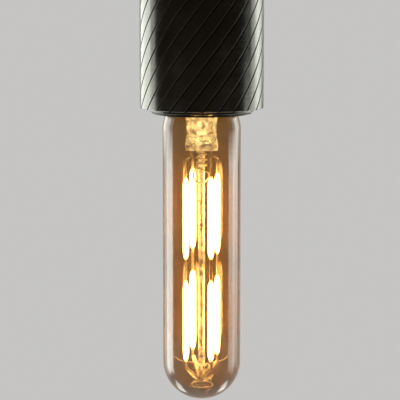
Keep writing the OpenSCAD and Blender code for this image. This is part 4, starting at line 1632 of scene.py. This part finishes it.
    def springs(self) -> None:
        """The centring legs on their collar, and the ring below the spider."""
        thin = self.wire * self.thin_share
        collar, z = self.rod + self.wire + 0.05, self.at.hub + 4.9
        reach = self.glass_bore - thin
        path = [(collar, z), (collar + 3, z + 0.3), (reach - 3, z + 0.2), (reach, z + 1.4)]
        legs = [curve_through([polar(r, math.radians(angle), h) for r, h in path], 10)
                for angle in self.legs]
        self.joined("centring_spring_bent", ring(collar, z, 40), self.wire, legs, thin)
        low, top = self.at.hub - 3.0, self.at.hub - 0.2
        path = [(self.hoop, low), (self.hoop - 0.3, low + 1.4), (self.rod + 0.3, top - thin)]
        hangers = [curve_through([polar(r, self.angle(k), h) for r, h in path], 8)
                   for k in (0, 2)]
        self.joined("tail_ring_bent", ring(self.hoop, low, 72), thin, hangers, thin)

    def build(self) -> None:
        """Makes and dresses everything on the stem."""
        self.lead_wires()
        self.binding()
        self.filaments()
        self.tabs()
        self.spider()
        self.springs()


# Studio


@dataclass
class Studio:
    """The camera, the lights and the plain pale surroundings."""

    pale: Colour = (0.56, 0.555, 0.545)
    dim: Colour = (0.018, 0.013, 0.008)
    light: Colour = (0.92, 1.0, 0.96)
    floor: float = -1100.0
    floor_half: float = 4000.0
    camera_at: Point = (-0.66, -639.2, -13.3)
    look_at: Point = (-0.66, 0.0, -105.7)
    lens: float = 151.35
    wall_far: float = 900.0
    wall_heights: tuple[float, float] = (-700.0, 700.0)
    # How bright the walls look at the lamp's foot, beside it and above it, from angle to angle
    walls: ClassVar[dict[str, tuple[float, float, float, float, float]]] = {
        "left_a": (-95.0, -108.0, 4.6, 4.6, 0.8), "left_b": (-108.0, -126.0, 4.4, 3.6, 2.3),
        "left_c": (-126.0, -142.0, 0.9, 1.2, 2.4), "left_d": (-142.0, -151.0, 0.0, 0.0, 2.2),
        "right_a": (86.0, 103.0, 1.4, 2.8, 0.1), "right_b": (103.0, 115.0, 1.4, 4.0, 1.0),
        "right_c": (115.0, 132.0, 0.1, 2.6, 2.5), "right_d": (132.0, 143.0, 0.0, 0.0, 1.4),
    }
    wall_steps: tuple[float, float, float] = (-460.0, -200.0, -155.0)  # those three heights
    foot_far: float = 500.0
    foot_heights: tuple[float, float] = (-910.0, -590.0)
    foot_angles: tuple[float, float] = (112.0, 152.0)
    foot_level: float = 2.6
    foot_fade: float = 70.0
    turn_to_pale: tuple[float, float] = (0.45, 0.85)
    melt: tuple[float, float] = (1.2, 3.2)  # metres from the middle of the floor
    least_plain: float = 0.8

    @staticmethod
    def aim(thing: bpy.types.Object, at: Vector, to: Vector) -> None:
        """Places a camera or a light and turns it to what it looks at.

        Args:
            thing: The camera or the light.
            at: Its place, in metres.
            to: The place that it looks at.
        """
        thing.location = at
        thing.rotation_mode = "QUATERNION"
        thing.rotation_quaternion = (to - at).to_track_quat("-Z", "Y")

    def camera(self) -> None:
        """Sets the camera up, a little above the lamp's middle."""
        data = bpy.data.cameras.new("camera")
        data.lens = self.lens
        data.sensor_width = 36.0
        data.clip_start = 0.01
        camera = linked("camera", data)
        self.aim(camera, Vector(self.camera_at) * MM, Vector(self.look_at) * MM)
        bpy.context.scene.camera = camera

    def panel(self, name: str, angles: tuple[float, float], heights: tuple[float, float],
              away: float, levels: list[tuple[float, float]]) -> None:
        """Adds a soft panel that faces the lamp, with a brightness that changes up it.

        Args:
            name: The light's name.
            angles: Where it begins and ends, in degrees from the camera's side and positive to
                the right.
            heights: Its foot and its top, in millimetres.
            away: How far it stands from the lamp's axis, in millimetres.
            levels: How bright it looks at some heights, from the lowest up, where 1 is white.
        """
        middle = math.radians(sum(angles) / 2)
        wide = 2 * away * math.tan(math.radians(abs(angles[1] - angles[0]) / 2))
        z = sum(heights) / 2
        data = bpy.data.lights.new(name, "AREA")
        data.shape = "RECTANGLE"
        data.size, data.size_y = wide * MM, (heights[1] - heights[0]) * MM
        data.energy = math.pi * data.size * data.size_y
        data.color = self.light
        data.use_nodes = True
        n = Nodes(data.node_tree)
        up = n.add("ShaderNodeSeparateXYZ",
                   {0: n.add("ShaderNodeNewGeometry").outputs["Parametric"]}).outputs[1]
        height = n.spread(up, 0.0, 1.0, *heights)
        level = levels[0][1]
        for (start, before), (end, after) in zip(levels, levels[1:]):
            level = n.math("ADD", level, n.spread(height, start, end, 0.0, after - before))
        n.put(level, n.tree.nodes["Emission"].inputs["Strength"])
        panel = linked(name, data)
        self.aim(panel, Vector((away * math.sin(middle), -away * math.cos(middle), z)) * MM,
                 Vector((0, 0, z)) * MM)
        panel.visible_camera = False

    def panels(self) -> None:
        """Lights the lamp from strips of wall on both sides and low panels behind it."""
        foot, top = self.wall_heights
        for name, (start, end, *shares) in self.walls.items():
            levels = [(foot, 0.0), *zip(self.wall_steps, shares), (top, shares[-1])]
            self.panel(name, (start, end), self.wall_heights, self.wall_far, levels)
        foot, top = self.foot_heights
        fade, level = self.foot_fade, self.foot_level
        levels = [(foot, 0.0), (foot + fade, level), (top - fade, level), (top, 0.0)]
        for name, side in (("left", -1), ("right", 1)):
            angles = (side * self.foot_angles[0], side * self.foot_angles[1])
            self.panel("foot_" + name, angles, self.foot_heights, self.foot_far, levels)

    def world(self) -> None:
        """The pale world.

        It is pale to the camera, through glass and behind the lamp, and dim in front, as in a
        studio whose light stands behind the lamp.
        """
        world = bpy.data.worlds.new("studio")
        bpy.context.scene.world = world
        world.use_nodes = True
        n = Nodes(world.node_tree)
        side = n.add("ShaderNodeSeparateXYZ", {0: n.place("Generated")}).outputs[1]
        path = n.add("ShaderNodeLightPath").outputs
        seen = n.math("ADD", path["Is Camera Ray"], path["Is Transmission Ray"], clamp=True)
        share = n.math("MAXIMUM", n.spread(side, *self.turn_to_pale), seen)
        n.put(n.mix(share, self.dim, self.pale), n.tree.nodes["Background"].inputs["Color"])

    def ground(self) -> None:
        """The plain floor, which melts into the world with the distance."""
        half, z = self.floor_half, self.floor
        mesh = mesh_of("floor", [(-half, -half, z), (half, -half, z), (half, half, z),
                                 (-half, half, z)], [[0, 1, 2, 3]])
        floor = linked("floor", mesh)
        n = Skin("floor")
        n.tree.nodes.remove(n.shader)
        pale = (*self.pale, 1.0)
        path = n.add("ShaderNodeLightPath").outputs
        seen = n.math("ADD", path["Is Camera Ray"], path["Is Transmission Ray"])
        seen = n.math("ADD", seen, path["Is Glossy Ray"], clamp=True)
        away = n.add("ShaderNodeVectorMath", {0: n.place()}, operation="LENGTH")
        melting = n.spread(away.outputs["Value"], *self.melt, self.least_plain, 1.0)
        share = n.math("MULTIPLY", seen, melting)
        matt = n.add("ShaderNodeBsdfDiffuse", {"Color": pale})
        plain = n.add("ShaderNodeEmission", {"Color": pale, "Strength": 1.0})
        mixed = n.add("ShaderNodeMixShader", {0: share, 1: matt.outputs[0],
                                              2: plain.outputs[0]})
        n.put(mixed.outputs[0], n.tree.nodes["Material Output"].inputs[0])
        mesh.materials.append(n.material)

    def build(self) -> None:
        """Sets up camera, surroundings and lights."""
        bpy.context.scene.view_settings.view_transform = "Standard"
        self.camera()
        self.world()
        self.ground()
        self.panels()


def corners(box: tuple[Vector, Vector]) -> list[list[float]]:
    """A box's two corners as plain lists."""
    return [list(box[0]), list(box[1])]


def main() -> None:
    """Builds the whole scene."""
    logging.basicConfig(level=logging.INFO, format="%(message)s")
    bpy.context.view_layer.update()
    Studio().build()
    wardrobe = Wardrobe()
    at = Heights.of_frame()
    thread = Thread()
    Holder(at, wardrobe, thread).build()
    Cap(at, wardrobe, thread).build()
    Bulb(at, wardrobe).build()
    Mount(at, wardrobe, wire_tree()).build()


if __name__ == "__main__":
    main()
